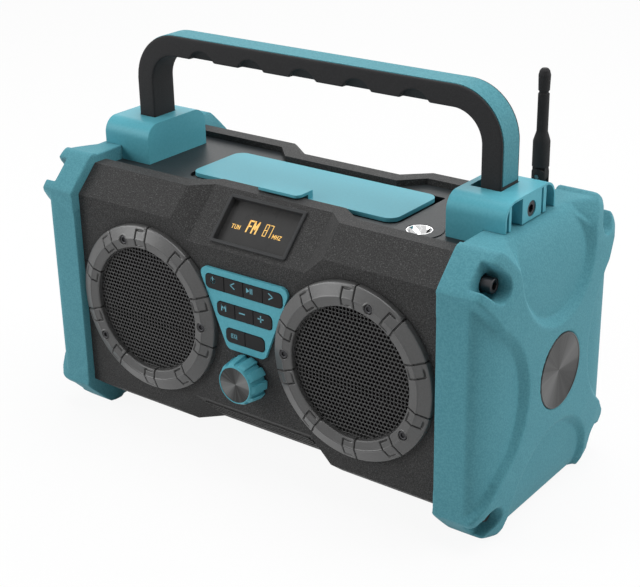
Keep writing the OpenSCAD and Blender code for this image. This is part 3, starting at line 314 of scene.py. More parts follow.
def spun(name, base, axis, centre_mm):
    """A disc turned on a lathe about one axis (0 for X, 1 for Y) through a centre, with two wedges and uneven
    rays of highlight painted into its colour.
    """
    f = Finish(name)
    shift = [-c * MM for c in centre_mm]
    at = f.add("ShaderNodeVectorMath", {"operation": "ADD"}, {0: f.place, 1: shift}).outputs[0]
    across, up = [number for i, number in enumerate(f.coordinates(at)) if i != axis]
    angle = f.maths("ARCTAN2", up, across)
    radius = (across * across + up * up) ** 0.5
    # Painted highlight: two bright wedges at a fixed turn and uneven rays around the disc, painted into the
    # base colour between a shaded and a lit tone of the metal.
    wedge = (f.maths("SINE", angle * 2 + 0.6) * 0.5 + 0.5) ** 2.0
    rings = f.streaks(radius * MARKS, 3.0)
    rays = f.streaks(angle * PAINTED_RAYS, 4.0)
    light = wedge * 0.9 + (rays - 0.5) * 0.9 + (rings - 0.5) * 0.25
    painted_shade_tone, painted_highlight_tone = [tone(*[c * share for c in base]) for share in (0.42, 1.75)]
    return f.surface(
        Base_Color=f.blend(light, painted_shade_tone, painted_highlight_tone),
        Roughness=0.4 + (rings - 0.5) * 0.2,
        Metallic=0.35,
        Normal=f.relief(rings, 0.02),
    )


knob_lo, knob_hi = box_mm("knob_face")
knob_spun = spun("spun_knob_face", (64, 65, 65), 1, (knob_lo + knob_hi) / 2)
medal_lo, medal_hi = box_mm("right_medallion")
MEDAL_R = (medal_hi[1] - medal_lo[1]) / 2
medal_spun = spun("spun_medallion", (52, 52, 52), 0, (medal_lo + medal_hi) / 2)
print("spun discs:", knob_spun.name, medal_spun.name)

# %% [markdown]
# ## A first coat
# Every construction part gets the finish of its real material. Parts that a finer piece stands for
# later keep it too, because they still carry the piece's colour in the list of materials.

# %% Finishes for the construction parts
coats = {
    "housing": charcoal, "battery_door": charcoal, "top_panel": smooth_dark, "lamp_ring": smooth_dark,
    "tray": smooth_dark, "bezel": bezel_dark, "pack": smooth_dark, "end_cap": teal, "mount": teal_gloss,
    "lid": teal_gloss, "inlay": strip, "keypad_plate": teal_gloss, "tuning_knob": teal_gloss,
    "medallion": medal_spun, "knob_face": knob_spun, "speaker_ring": ring_grey, "grille": grille_paint,
    "screws": oxide, "lid_pin": steel, "shaft": steel, "pin": steel, "magnets": steel, "encoder": steel,
    "usb_socket": steel, "reflector": chrome, "board": board, "module": board, "cone": paper,
    "surrounds": paper, "basket": paper, "display_lens": screen, "lamp_lens": glass,
    "_key": key_rubber, "lid_seal": rubber, "handle_bar": rubber,
}
for name, part in nodes.items():
    found = [coat for word, coat in coats.items() if word in name]
    part.data.materials.clear()
    part.data.materials.append(found[-1] if found else rubber)
print("coated", len(nodes), "parts")

# %% [markdown]
# ## Moulded skins
# The end caps and the handle have no sharp edge anywhere: a mould needs radii, and hands like them.
# Such a shape is easy to write as a field, a formula that is negative inside the plastic and grows
# with the distance from it. A soft maximum cuts one shape with another and leaves a rounded edge. A
# net of cells then finds where the field is zero, and a few Newton steps lay each corner of the net
# on the true surface. The same formula would give a tool maker the surface of the mould.


# %% Fields and their skins
def soft_max(a, b, k):
    """The larger of two fields, with a rounded edge about k millimetres wide where they meet."""
    return 0.5 * (a + b + np.sqrt((a - b) ** 2 + k * k))


def soft_min(a, b, k):
    """The smaller of two fields, with a rounded valley where they meet."""
    return -soft_max(-a, -b, k)


def new_piece(name, vertices, faces, finish, smooth=True):
    """A mesh from points in millimetres, with one finish, at the origin."""
    data = bpy.data.meshes.new(name)
    places = (np.asarray(vertices, float) * MM).tolist()
    data.from_pydata(places, [], [list(map(int, corners)) for corners in faces])
    data.materials.append(finish)
    if smooth:
        data.polygons.foreach_set("use_smooth", [True] * len(data.polygons))
    piece = bpy.data.objects.new(name, data)
    bpy.context.scene.collection.objects.link(piece)
    return piece


@contextmanager
def edited(data):
    """Opens a mesh for editing and writes it back at the end."""
    mesh = bmesh.new()
    mesh.from_mesh(data)
    yield mesh
    mesh.to_mesh(data)
    mesh.free()


NEWTON_STEPS = 3


def skin(field, low, high, step):
    """Points and four-sided faces of the surface where a field is zero, in millimetres."""
    axes = [np.arange(a - 1.63 * step, b + 2.5 * step, step) for a, b in zip(low, high)]
    value = field(*np.meshgrid(*axes, indexing="ij"))
    cells = np.array(value.shape) - 1
    total, sums, count, edges = int(cells.prod()), [0, 0, 0], 0, []
    for axis in range(3):
        first = value.take(range(value.shape[axis] - 1), axis)
        second = value.take(range(1, value.shape[axis]), axis)
        crossed = np.argwhere((first < 0) != (second < 0))
        a, b = first[tuple(crossed.T)], second[tuple(crossed.T)]
        points = crossed.astype(float)
        points[:, axis] += a / (a - b)
        side, up = (axis + 1) % 3, (axis + 2) % 3
        around = []
        for ds, du in ((1, 1), (0, 1), (0, 0), (1, 0)):
            cell = crossed.copy()
            cell[:, side] -= ds
            cell[:, up] -= du
            ids = np.ravel_multi_index(cell.T, cells, mode="clip")
            around.append(ids)
            count = count + np.bincount(ids, minlength=total)
            for i in range(3):
                sums[i] = sums[i] + np.bincount(ids, weights=points[:, i], minlength=total)
        quads = np.stack(around, 1)
        edges.append(np.where((a < 0)[:, None], quads, quads[:, ::-1]))
    used = np.flatnonzero(count)
    number = np.full(total, -1)
    number[used] = np.arange(len(used))
    places = np.stack([sums[i][used] / count[used] * step + axes[i][0] for i in range(3)], 1)
    probe = 0.02 * step
    for _ in range(NEWTON_STEPS):
        slope = np.stack([
            (field(*(places + shift).T) - field(*(places - shift).T)) / (2 * probe)
            for shift in np.eye(3) * probe], 1)
        move = (field(*places.T) / np.maximum((slope ** 2).sum(1), 0.2))[:, None] * slope
        places -= np.clip(move, -0.6 * step, 0.6 * step)
    return places, number[np.concatenate(edges)]


# %% [markdown]
# ## End caps
# The two caps are one moulding and its mirror image. A cap is an eight-sided block. Its outer face is
# a shallow dome, cut by four dished panels so that an X of ribs remains, with a boss on each corner
# and a flat hub for the medallion. The walls of the dishes lean at about 45 degrees near the hub, and
# are steeper towards the corners, so the mould opens straight out. A pocket in each corner hides the
# head of a socket screw. It is open to the outside, so that water runs out.

# %% Sizes of the right cap
cap_lo, cap_hi = box_mm("right_end_cap")
CAP_X, FACE_X = cap_lo[0], cap_hi[0]  # the seam with the housing, and the outer face
CAP_HALF, CAP_MID = cap_hi[1], (cap_lo[2] + cap_hi[2]) / 2
CORNER, LIFT, DISH = 23.0, 1.5, 4.4  # outline's chamfer, ribs beyond the panels' rim, panels' depth
PANEL_EDGE = 1.5  # rounding where two panels meet
DOME_Z = 2.0  # middle of the dome above the middle of the cap
DOME = np.array([(0, 0), (30, 0), (60, -0.9), (85, -2.8), (98, -4.8), (106, -7.4), (112, -10.8),
                 (117, -15.8), (122, -24)])  # distance from that middle, and how far the ribs fall
SIDE_AT, SIDE_R = 98, 60  # middle and radius of a side panel's round part
SIDE_Y, SIDE_Z = 68, 53  # where its straight edges start
# End panels: nearest point to the middle, radius, where the straight edges start and where they end.
UPPER_PANEL = (32, 47, (46, 79), CAP_HALF - 26)
LOWER_PANEL = (36.5, 50, (50, 86.5), 52)
# The block under the panels has oval edges: how far from the middle and from the seam they start.
FRONT_OVAL, UPPER_OVAL, LOWER_OVAL = (44, 19.6), (38, 16), (42.5, 22.6)
POCKET_IN, POCKET_R, POCKET_FLOOR = (19.5, 19.6), 9.0, CAP_X + 19.6  # pocket, in from the outline
SCREW_IN, SEAT_R, SEAT_FLOOR = (22.5, 20.5), 5.6, CAP_X + 15.6  # screw and its seat, likewise
HUB_ROOM, HUB_DEPTH = 0.15, 2.3
ROOT_2 = 1.41421
print("cap mm:", [round(float(size), 1) for size in cap_hi - cap_lo])


# %% The field of the right cap
def oval(u, v, a, b):
    """Distance from an ellipse quarter with flat runs beyond its two ends."""
    u, v = np.maximum(u, 1e-6), np.maximum(v, 1e-6)
    k = np.sqrt((u / a) ** 2 + (v / b) ** 2)
    return k * (k - 1) / np.sqrt((u / a ** 2) ** 2 + (v / b ** 2) ** 2)


def oval_edge(out, x, start, half):
    """Distance outside one side of the block under the panels, with out measured towards it."""
    flat, rise = start
    return oval(out - flat, x - CAP_X - rise, half - LIFT - flat, FACE_X - DISH - CAP_X - rise)


def panel_distance(y, z, round_part, start, end):
    """Distance outside a panel: a round part and a wedge from one point of its edge to another."""
    run, rise = end[0] - start[0], end[1] - start[1]
    wedge = (run * (z - start[1]) - rise * (y - start[0])) / math.hypot(run, rise)
    return soft_min(round_part, np.maximum(wedge, start[0] - y), PANEL_EDGE)


def side_distance(y, z):
    """Distance outside the side panels."""
    end = (CAP_HALF + 1, CAP_MID - CORNER + 2)
    return panel_distance(y, z, np.hypot(y - SIDE_AT, z) - SIDE_R, (SIDE_Y, SIDE_Z), end)


def end_distance(y, z, apex, radius, start, spread):
    """Distance outside the upper or lower panel, with z measured towards it."""
    round_part = np.hypot(y, z - apex - radius) - radius
    return panel_distance(z, y, round_part, start[::-1], (CAP_MID + 1, spread))


def cap_field(x, y, z):
    y, z = np.abs(y), z - CAP_MID
    high = np.abs(z)
    panels = soft_min(side_distance(y, high), end_distance(y, z, *UPPER_PANEL), PANEL_EDGE)
    panels = soft_min(panels, end_distance(y, -z, *LOWER_PANEL), PANEL_EDGE)
    outline = soft_max(y - CAP_HALF, high - CAP_MID, 1.4)
    outline = soft_max(outline, (y + high - CAP_HALF - CAP_MID + CORNER) / ROOT_2, 1.8)
    outline = outline + LIFT * np.clip(-panels / 1.6 + 0.2, 0, 1)
    ends = np.maximum(oval_edge(z, x, UPPER_OVAL, CAP_MID), oval_edge(-z, x, LOWER_OVAL, CAP_MID))
    core = soft_max(oval_edge(y, x, FRONT_OVAL, CAP_HALF), ends, 2.0)
    core = soft_max(core, x - FACE_X + DISH, 0.6)
    dome = FACE_X + np.interp(np.hypot(y, z - DOME_Z), DOME[:, 0], DOME[:, 1])
    steep = 0.95 + 2.4 * np.clip((y - 62) / 20, 0, 1)
    ribs = soft_max(x - dome, (x - dome - panels * steep) / np.sqrt(1 + steep * steep), 0.5)
    solid = soft_max(soft_min(core, ribs, 0.25), outline, 1.4)
    away, aside = y - CAP_HALF + POCKET_IN[0], high - CAP_MID + POCKET_IN[1]
    reach = np.hypot(np.minimum(away + aside, 0), away - aside) / ROOT_2 - POCKET_R
    solid = soft_max(solid, -soft_max(reach, POCKET_FLOOR - x, 0.8), 0.6)
    away, aside = y - CAP_HALF + SCREW_IN[0], high - CAP_MID + SCREW_IN[1]
    seat = np.maximum(np.hypot(away, aside) - SEAT_R, SEAT_FLOOR - x)
    solid = soft_max(solid, -seat, 0.4)
    hub = np.maximum(np.hypot(y, z) - MEDAL_R - HUB_ROOM, FACE_X - HUB_DEPTH - x)
    return np.maximum(soft_max(solid, -hub, 0.35), CAP_X - x)


# %% Both caps
DRAFT_STEP, CAP_STEP, BAR_STEP = 2.4, 1.05, 0.84  # cells of the nets, in a draft and in the real one


def on_seam(vertex):
    """Whether a vertex of a cap lies on its flat inner side."""
    return abs(abs(vertex.co.x) / MM - CAP_X) < 0.02


cap_points, cap_faces = skin(cap_field, cap_lo, cap_hi, CAP_STEP)
for side, name in ((1, "right_end_cap"), (-1, "left_end_cap")):
    faces = cap_faces if side > 0 else cap_faces[:, ::-1]
    cap = new_piece(name + "_moulding", cap_points * (side, 1, 1), faces, teal)
    with edited(cap.data) as mesh:
        flat = [v for v in mesh.verts if on_seam(v)]
        flat_edges = [e for e in mesh.edges if all(on_seam(v) for v in e.verts)]
        bmesh.ops.dissolve_limit(mesh, angle_limit=0.01, verts=flat, edges=flat_edges)
    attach(cap, "housing")
    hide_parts(name)
    print(cap.name, len(cap.data.polygons), "faces")

# %% [markdown]
# ## Handle
# The handle is a bent bar whose edges are rounded for the palm. Five scoops under the front edge
# guide the fingers. Each is a round cut with a leaning floor, so it fades out towards the rear. A
# groove along the outside takes the coloured inlay, which is clipped in later.

# %% The field of the handle
bar_lo, bar_hi = box_mm("handle_bar")
inlay_lo, _ = box_mm("handle_inlay")
BAR_MID, BAR_HALF_Y = (bar_lo[1] + bar_hi[1]) / 2, (bar_hi[1] - bar_lo[1]) / 2
BAR_T, BAR_CORNER = 14.5, 35.0  # thickness, and radius of the outer corners
GROOVE, GROOVE_HALF, GROOVE_ROOM = 1.4, 9.1, 0.3  # depth, half the width, room below the inlay
SCOOPS, SCOOP_PITCH, SCOOP_X = range(-2, 3), 43, -1  # the middle scoop is a little to the left
SCOOP_R, SCOOP_RISE, SCOOP_IN, SCOOP_LEAN = 12.2, 7.0, 1.3, 0.55  # radius, height, depth, floor


def arch_distance(x, z, half, top, corner):
    """Distance outside an upright arch with round upper corners."""
    across, up = np.abs(x) - half + corner, z - top + corner
    return np.hypot(np.maximum(across, 0), np.maximum(up, 0)) + np.minimum(np.maximum(across, up), 0) - corner


def bar_field(x, y, z):
    outer = arch_distance(x, z, bar_hi[0], bar_hi[2], BAR_CORNER)
    inner = arch_distance(x, z, bar_hi[0] - BAR_T, bar_hi[2] - BAR_T, BAR_CORNER - BAR_T)
    wide = np.abs(y - BAR_MID) - BAR_HALF_Y
    solid = soft_max(soft_max(outer, -inner, 1.0), wide, 0.8)
    below = bar_hi[2] - BAR_T + SCOOP_RISE - z
    slope = (y - bar_lo[1] - SCOOP_IN - SCOOP_LEAN * below) / math.hypot(1, SCOOP_LEAN)
    for i in SCOOPS:
        arc = np.hypot(x - SCOOP_X - SCOOP_PITCH * i, below - SCOOP_R) - SCOOP_R
        solid = soft_max(solid, -soft_max(arc, slope, 0.4), 0.15)
    groove = np.maximum(np.abs(y - BAR_MID) - GROOVE_HALF, -GROOVE - outer)
    groove = np.maximum(groove, inlay_lo[2] - GROOVE_ROOM - z)
    solid = soft_max(solid, -groove, 0.25)
    return np.maximum(solid, bar_lo[2] - z)


# %% Bar
bar_points, bar_faces = skin(bar_field, bar_lo, bar_hi, BAR_STEP)
bar = new_piece("handle_bar_moulding", bar_points, bar_faces, rubber)
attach(bar, "housing")
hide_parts("handle_bar")
print(bar.name, len(bar.data.polygons), "faces")

# %% [markdown]
# ## Softened mouldings
# The remaining mouldings are flat-sided, so their construction meshes already have the right faces.
# A copy is cleaned of the lines between triangles, its edges get a small radius, and its shading is
# weighted by area so that flat faces stay flat. The radius follows the wall: large on the housing,
# small on the keys.

# %% Modifiers turned into a plain mesh
def plain_copy(work, name):
    """A piece with the mesh that an object's modifiers make; the object itself goes."""
    ready = work.evaluated_get(bpy.context.evaluated_depsgraph_get())
    plain = bpy.data.meshes.new_from_object(ready)
    bpy.data.objects.remove(work)
    plain.name = name
    piece = bpy.data.objects.new(name, plain)
    bpy.context.scene.collection.objects.link(piece)
    return piece


# %% Softened copies
RADII = {
    "front_housing": 1.0, "rear_housing": 1.0, "top_panel": 0.5, "handle_mount": 1.1, "lid": 0.9,
    "_key": 0.55, "lamp_ring": 0.3, "battery_door": 0.9, "port_flap": 0.6, "storage_tray": 0.5,
    "handle_inlay": 0.3, "antenna_knuckle": 0.4, "antenna_whip": 0.3, "power_jack": 0.2,
}


def softened(name, width):
    """A copy of a construction part with rounded edges; it stands in for the part."""
    source = nodes[name]
    finish = source.data.materials[0]
    work = bpy.data.objects.new("work", source.data.copy())
    bpy.context.scene.collection.objects.link(work)
    with edited(work.data) as mesh:
        bmesh.ops.remove_doubles(mesh, verts=mesh.verts, dist=2e-6)
        almost_flat = math.radians(0.8)
        bmesh.ops.dissolve_limit(mesh, angle_limit=almost_flat, verts=mesh.verts, edges=mesh.edges)
        bmesh.ops.recalc_face_normals(mesh, faces=mesh.faces)
        for face in mesh.faces:
            face.smooth = True
    bevel = work.modifiers.new("edges", "BEVEL")
    bevel.width, bevel.segments = width * MM, 2
    bevel.limit_method, bevel.angle_limit = "ANGLE", math.radians(24)
    bevel.miter_outer = "MITER_ARC"
    bevel.use_clamp_overlap = True
    weigh = work.modifiers.new("flat_faces", "WEIGHTED_NORMAL")
    weigh.weight = 90
    piece = plain_copy(work, name + "_moulding")
    piece.data.materials.clear()
    piece.data.materials.append(finish)
    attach(piece, body_of(source)[0])
    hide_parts(name)
    return piece


soft = {}
for name in nodes:
    widths = [width for word, width in RADII.items() if word in name]
    if widths and name not in ("lid_seal", "lid_pin"):
        soft[name] = softened(name, widths[-1])
print("softened", len(soft), "parts,", sum(len(p.data.polygons) for p in soft.values()), "faces")

# %% [markdown]
# ## Turned and lofted pieces
# Many pieces are stacks of closed loops with the same number of points: a speaker ring, a screw
# head, a bezel, a knob. One function joins such loops with faces. A screw head, for instance, runs
# up its outside, over its chamfer and down into the socket, where the loops are six-sided.


# %% Loops joined into pieces
def lofted(name, loops, finish, smooth=True, caps="last"):
    """A mesh through loops of equal length, which run counter-clockwise seen from outside.

    Caps can close the "first" loop, the "last" one, "both" or "none", or the two are "joined".
    """
    loops = np.asarray(loops, float)
    rows, n = loops.shape[:2]
    here = np.arange(n)
    after = (here + 1) % n
    faces = []
    for i in range(rows if caps == "joined" else rows - 1):
        low, high = i * n, (i + 1) % rows * n
        faces += zip(low + here, low + after, high + after, high + here)
    if caps in ("last", "both"):
        faces.append(tuple((rows - 1) * n + here))
    if caps in ("first", "both"):
        faces.append(tuple(here[::-1]))
    return new_piece(name, loops.reshape(-1, 3), faces, finish, smooth)


def sharpened(piece, angle):
    """Marks edges above an angle as sharp, so that only round faces shade smoothly."""
    with edited(piece.data) as mesh:
        bmesh.ops.recalc_face_normals(mesh, faces=mesh.faces)
        for edge in mesh.edges:
            edge.smooth = len(edge.link_faces) != 2 or edge.calc_face_angle() < math.radians(angle)
    return piece


# %% Loops
def turned_loop(axis, centre, height, radius, turns):
    """Points around an axis (0, 1 or 2) through a centre, at a height along it; turns in degrees."""
    t = np.radians(turns)
    first, second = [i for i in range(3) if i != axis]
    loop = np.empty((len(t), 3))
    loop[:, axis] = height
    loop[:, first] = centre[first] + radius * np.cos(t)
    loop[:, second] = centre[second] + radius * np.sin(t)
    return loop


def screw_loop(radius, height, sides=0):
    """A round or many-sided loop around the Z axis."""
    turns = np.arange(0, 360, 7.5)
    if sides:
        half = 180 / sides
        off_middle = np.radians((turns + half) % (2 * half) - half)
        radius = radius * math.cos(math.radians(half)) / np.cos(off_middle)
    return turned_loop(2, (0, 0), height, radius, turns)


def rounded_loop(half_x, half_y, radius, height):
    """A rectangle with round corners."""
    points = []
    for sx, sy, start in ((1, 1, 0), (-1, 1, 90), (-1, -1, 180), (1, -1, 270)):
        corner = (sx * (half_x - radius), sy * (half_y - radius))
        points.append(turned_loop(2, corner, height, radius, start + np.linspace(0, 90, 9)))
    return np.concatenate(points)


print("loops of a screw and of a bezel:", len(screw_loop(1, 0)), "and", len(rounded_loop(2, 1, 0.5, 0)))

# %% [markdown]
# ## Speaker rings
# A ring is one moulded profile turned around the speaker. Ten clips show on it, each marked by a
# groove across the ring and by a bracket of three short grooves. The ring is made as a net of
# stations around and across it; where a groove runs, the net sinks along its own normal. The screws
# sit in round seats between the clips, and the two rings mirror each other only in these seats.

# %% The profile and the grooves of a ring
ring_lo, ring_hi = box_mm("right_speaker_ring")
RING_X, RING_Z = (ring_lo[0] + ring_hi[0]) / 2, (ring_lo[2] + ring_hi[2]) / 2
RING_R, RING_FRONT, FACE_Y = (ring_hi[0] - ring_lo[0]) / 2, ring_lo[1], ring_hi[1]
CREST_R, BORE_R = 51.3, 44.7
CLIPS, CLIP_STEP, CLIP_HALF, CLIP_R = 10, 36, 5.0, 52  # number, degrees apart, half a clip, its radius
CLIP_TURN = 216  # on one side of this turn a clip's bracket lies the other way round
BRACKET_IN, BRACKET_OUT, BRACKET_ARM = 46.6, 57.4, 0.25  # its two radii, and its arms as shares
GROOVE_W, GROOVE_DEEP, GROOVE_OVER = 0.62, 1.5, 5  # a groove across runs on beyond the ring
SCREW_R, SCREW_TURNS = 50.5, (108, 0, 216)
SEAT_DEEP, SEAT_BORE, SEAT_RIM, RIM_LIFT, RIM_FROM = 3, 3.3, 3.6, 0.45, 4.5  # screw seats and rims


def ring_profile():
    """Radius, height above the housing, and outward normal of the stations across the ring."""
    corners = np.array([
        (BORE_R, 2.2), (BORE_R, 5.2), (BORE_R + 0.35, 5.85), (BORE_R + 1.1, 6.15),
        (CREST_R - 0.75, 7.05), (CREST_R - 0.3, 7.4), (CREST_R + 0.3, 7.35), (CREST_R + 0.8, 6.95),
        (RING_R - 1.0, 4.3), (RING_R - 0.35, 3.9), (RING_R, 3.2), (RING_R, 0.0)])
    steps = np.r_[0, np.cumsum(np.hypot(*np.diff(corners, axis=0).T))]
    fine = np.unique(np.r_[np.arange(0, steps[-1], 0.36), steps])
    fine = fine[np.r_[True, np.diff(fine) > 0.02]]
    line = np.stack([np.interp(fine, steps, corners[:, i]) for i in (0, 1)], 1)
    along = np.gradient(line, axis=0)
    along /= np.hypot(*along.T)[:, None]
    return line, np.stack([-along[:, 1], along[:, 0]], 1)


def groove_distance(r, t, start, end):
    """Distance from a short straight groove, in radius and arc length."""
    along = np.array(end) - start
    share = np.clip(((r - start[0]) * along[0] + (t - start[1]) * along[1]) / (along @ along), 0, 1)
    return np.hypot(r - start[0] - share * along[0], t - start[1] - share * along[1])


def ring_sink(r, angle):
    """How far the ring's surface lies below its plain profile."""
    half = math.radians(CLIP_HALF) * CLIP_R
    arm = -BRACKET_ARM * half
    grooves = [
        ((BORE_R - GROOVE_OVER, -half), (RING_R + GROOVE_OVER, -half)),
        ((BRACKET_IN, half), (BRACKET_OUT, half)),
        ((BRACKET_OUT, half), (BRACKET_OUT, arm)),
        ((BRACKET_IN, half), (BRACKET_IN, arm))]
    sink = np.zeros_like(r)
    for centre in CLIP_STEP * (np.arange(CLIPS) + 0.5):
        turn = 1 if (CLIP_TURN - centre) % 360 < 180 else -1
        t = np.radians((angle - centre + 180) % 360 - 180) * r * turn
        near = np.minimum.reduce([groove_distance(r, t, start, end) for start, end in grooves])
        fade = np.clip((near - GROOVE_W * 0.55) / (GROOVE_W * 0.6), 0, 1)
        sink = np.maximum(sink, GROOVE_DEEP * (1 - fade))
    return sink


def ring_turns(seats):
    """The turns at which the ring has stations, closer together at its clips and screw seats."""
    stations = [np.arange(0, 360, 1.8)]
    for centre in CLIP_STEP * (np.arange(CLIPS) + 0.5):
        stations += [centre + edge + np.arange(-1.6, 1.61, 0.22) for edge in (-CLIP_HALF, CLIP_HALF)]
    stations += [seat + np.arange(-6, 6.01, 0.3) for seat in seats]
    turns = np.unique(np.round(np.concatenate(stations) % 360, 3))
    return turns[np.r_[True, np.diff(turns) > 0.09]]


def speaker_ring(name, side):
    seats = [turn if side < 0 else 180 - turn for turn in SCREW_TURNS]
    line, normal = ring_profile()
    r, turns = np.meshgrid(line[:, 0], ring_turns(seats), indexing="ij")
    sink = ring_sink(r, turns)
    radius = r - sink * normal[:, :1]
    height = line[:, 1:] - sink * normal[:, 1:]
    seat_floor = FACE_Y - RING_FRONT - SEAT_DEEP
    for seat in seats:
        t = np.radians(turns - seat)
        away = np.hypot(radius * np.cos(t) - SCREW_R, radius * np.sin(t))
        lift = RIM_LIFT * np.clip(1 - np.abs(away - SEAT_RIM) / 0.6, 0, 1)
        height = height + lift * (height > RIM_FROM)
        drop = np.clip((SEAT_BORE - away) / 0.3, 0, 1) * (height > seat_floor)
        height = height * (1 - drop) + seat_floor * drop
    x = side * RING_X + radius * np.cos(np.radians(turns))
    z = RING_Z + radius * np.sin(np.radians(turns))
    stations = np.stack([x, FACE_Y - height, z], -1)
    ring = lofted(name + "_moulding", stations[::-1], ring_grey, caps="joined")
    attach(ring, "housing")
    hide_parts(name)
    return ring


for side, name in ((-1, "left_speaker_ring"), (1, "right_speaker_ring")):
    ring = speaker_ring(name, side)
    print(ring.name, len(ring.data.polygons), "faces")

# %% [markdown]
# ## Repeated things
# Perforations and screws repeat, so they are grown by Geometry Nodes: a small tree places one cell
# or one screw on many points. Its sizes are inputs with names, so another pitch or hole is one
# number. The result is then made a plain mesh, because a reusable part must not depend on a tree.


# %% A tree that grows geometry
class Grower(Network):
    """A Geometry Nodes tree with named size inputs, in millimetres."""

    def __init__(self, name, **sizes):
        super().__init__(bpy.data.node_groups.new(name, "GeometryNodeTree"))
        self.sizes = sizes
        sockets = self.tree.interface.new_socket
        sockets("Geometry", in_out="INPUT", socket_type="NodeSocketGeometry")
        for key in sizes:
            sockets(key, in_out="INPUT", socket_type="NodeSocketFloat")
        sockets("Geometry", in_out="OUTPUT", socket_type="NodeSocketGeometry")
        self.start = self.add("NodeGroupInput").outputs
        self.end = self.add("NodeGroupOutput").inputs

    def size(self, key):
        return Number(self, self.start[key])

    def vector(self, x=0.0, y=0.0, z=0.0):
        """A vector of numbers or plain values."""
        return self.add("ShaderNodeCombineXYZ", {}, {0: x, 1: y, 2: z}).outputs[0]

    def extruded(self, mesh, offset, **sockets):
        """Draws the edges of a mesh out along an offset, which leaves faces behind them."""
        sockets = {"Mesh": mesh, "Offset": offset, "Offset Scale": 1.0, **sockets}
        return self.add("GeometryNodeExtrudeMesh", {"mode": "EDGES"}, sockets).outputs

    def grow(self, name, finish, geometry, points=None):
        """Ends the tree, runs it once on a mesh and keeps the result as a plain piece."""
        real = self.add("GeometryNodeRealizeInstances", {}, {0: geometry}).outputs[0]
        painted = self.add("GeometryNodeSetMaterial", {}, {0: real, "Material": finish}).outputs[0]
        self.tree.links.new(painted, self.end[0])
        work = bpy.data.objects.new("work", points or bpy.data.meshes.new("empty"))
        bpy.context.scene.collection.objects.link(work)
        grown = work.modifiers.new(self.tree.name, "NODES")
        grown.node_group = self.tree
        for item in self.tree.interface.items_tree:
            if item.in_out == "INPUT" and item.name in self.sizes:
                grown[item.identifier] = float(self.sizes[item.name])
        return plain_copy(work, name)


# %% Perforated grilles
MESH = {"pitch": 2.72, "hole": 1.2, "reach": 45.4, "thick": 0.35}
RIM_R, RIM_IN, RIM_DEEP = 46.8, 44.0, 1.1


def perforated(name, side, finish):
    """A disc of sheet steel with staggered round holes: a square tile with a hole on each point."""
    g = Grower(name + "_perforation", **MESH)
    pitch, thick = g.size("pitch"), g.size("thick")
    count = 2 * int(RIM_R / MESH["pitch"]) + 2
    span = pitch * float(count - 1)
    sockets = {"Size X": span, "Size Y": span, "Vertices X": count, "Vertices Y": count}
    grid = g.add("GeometryNodeMeshGrid", {}, sockets).outputs[0]
    place = g.add("GeometryNodeInputPosition").outputs[0]
    x, y, _ = g.coordinates(place)
    odd = g.maths("FLOORED_MODULO", g.maths("ROUND", y / pitch), 2.0)
    shift = g.vector(x=(odd - 0.5) * (pitch * 0.5))
    moved = g.add("GeometryNodeSetPosition", {}, {0: grid, "Offset": shift}).outputs[0]
    far = g.add("ShaderNodeVectorMath", {"operation": "LENGTH"}, {0: place}).outputs["Value"]
    outside = g.maths("GREATER_THAN", far, g.size("reach"))
    points = g.add("GeometryNodeDeleteGeometry", {}, {0: moved, "Selection": outside}).outputs[0]
    sockets = {"Vertices": 16, "Radius": g.size("hole")}
    circle = g.add("GeometryNodeMeshCircle", {"fill_type": "NONE"}, sockets).outputs[0]
    sockets = {0: circle, "Translation": g.vector(z=thick * -1.0)}
    wall = g.extruded(g.add("GeometryNodeTransform", {}, sockets).outputs[0], g.vector(z=thick))
    reach = (pitch * 0.5) / g.maths("MAXIMUM", g.maths("ABSOLUTE", x), g.maths("ABSOLUTE", y))
    outward = g.add("ShaderNodeVectorMath", {"operation": "MULTIPLY"}, {0: place, 1: (1, 1, 0)})
    sockets = {0: outward.outputs[0], "Scale": reach - 1.0}
    growth = g.add("ShaderNodeVectorMath", {"operation": "SCALE"}, sockets).outputs[0]
    tile = g.extruded(wall["Mesh"], growth, Selection=wall["Top"])
    sockets = {"Points": points, "Instance": tile["Mesh"]}
    cells = g.add("GeometryNodeInstanceOnPoints", {}, sockets).outputs[0]
    piece = g.grow(name + "_mesh", finish, cells)
    flat = np.empty(len(piece.data.vertices) * 3)
    piece.data.vertices.foreach_get("co", flat)
    right, up, out = flat.reshape(-1, 3).T
    front = box_mm(name)[0][1]
    placed = np.stack([side * RING_X + right, front - out, RING_Z + up], 1)
    piece.data.vertices.foreach_set("co", (placed * MM).ravel())
    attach(piece, "housing")
    return piece


for side, name in ((-1, "left_grille"), (1, "right_grille")):
    sheet = perforated(name, side, grille_paint)
    front = box_mm(name)[0][1]
    centre = (side * RING_X, 0, RING_Z)
    section = [(RIM_IN, 0.0), (RIM_R, 0.0), (RIM_R, RIM_DEEP), (RIM_IN, RIM_DEEP)]
    loops = [turned_loop(1, centre, front + depth, r, np.arange(0, 360, 3)) for r, depth in section]
    rim = lofted(name + "_rim", loops, grille_paint, smooth=False, caps="joined")
    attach(rim, "housing")
    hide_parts(name)
    print(sheet.name, len(sheet.data.polygons), "faces")

# %% [markdown]
# ## Screws
# The heads of the socket screws are one turned shape in two sizes. Geometry Nodes sets a copy on
# every screw point, which keeps a row of screws identical, as bought screws are.


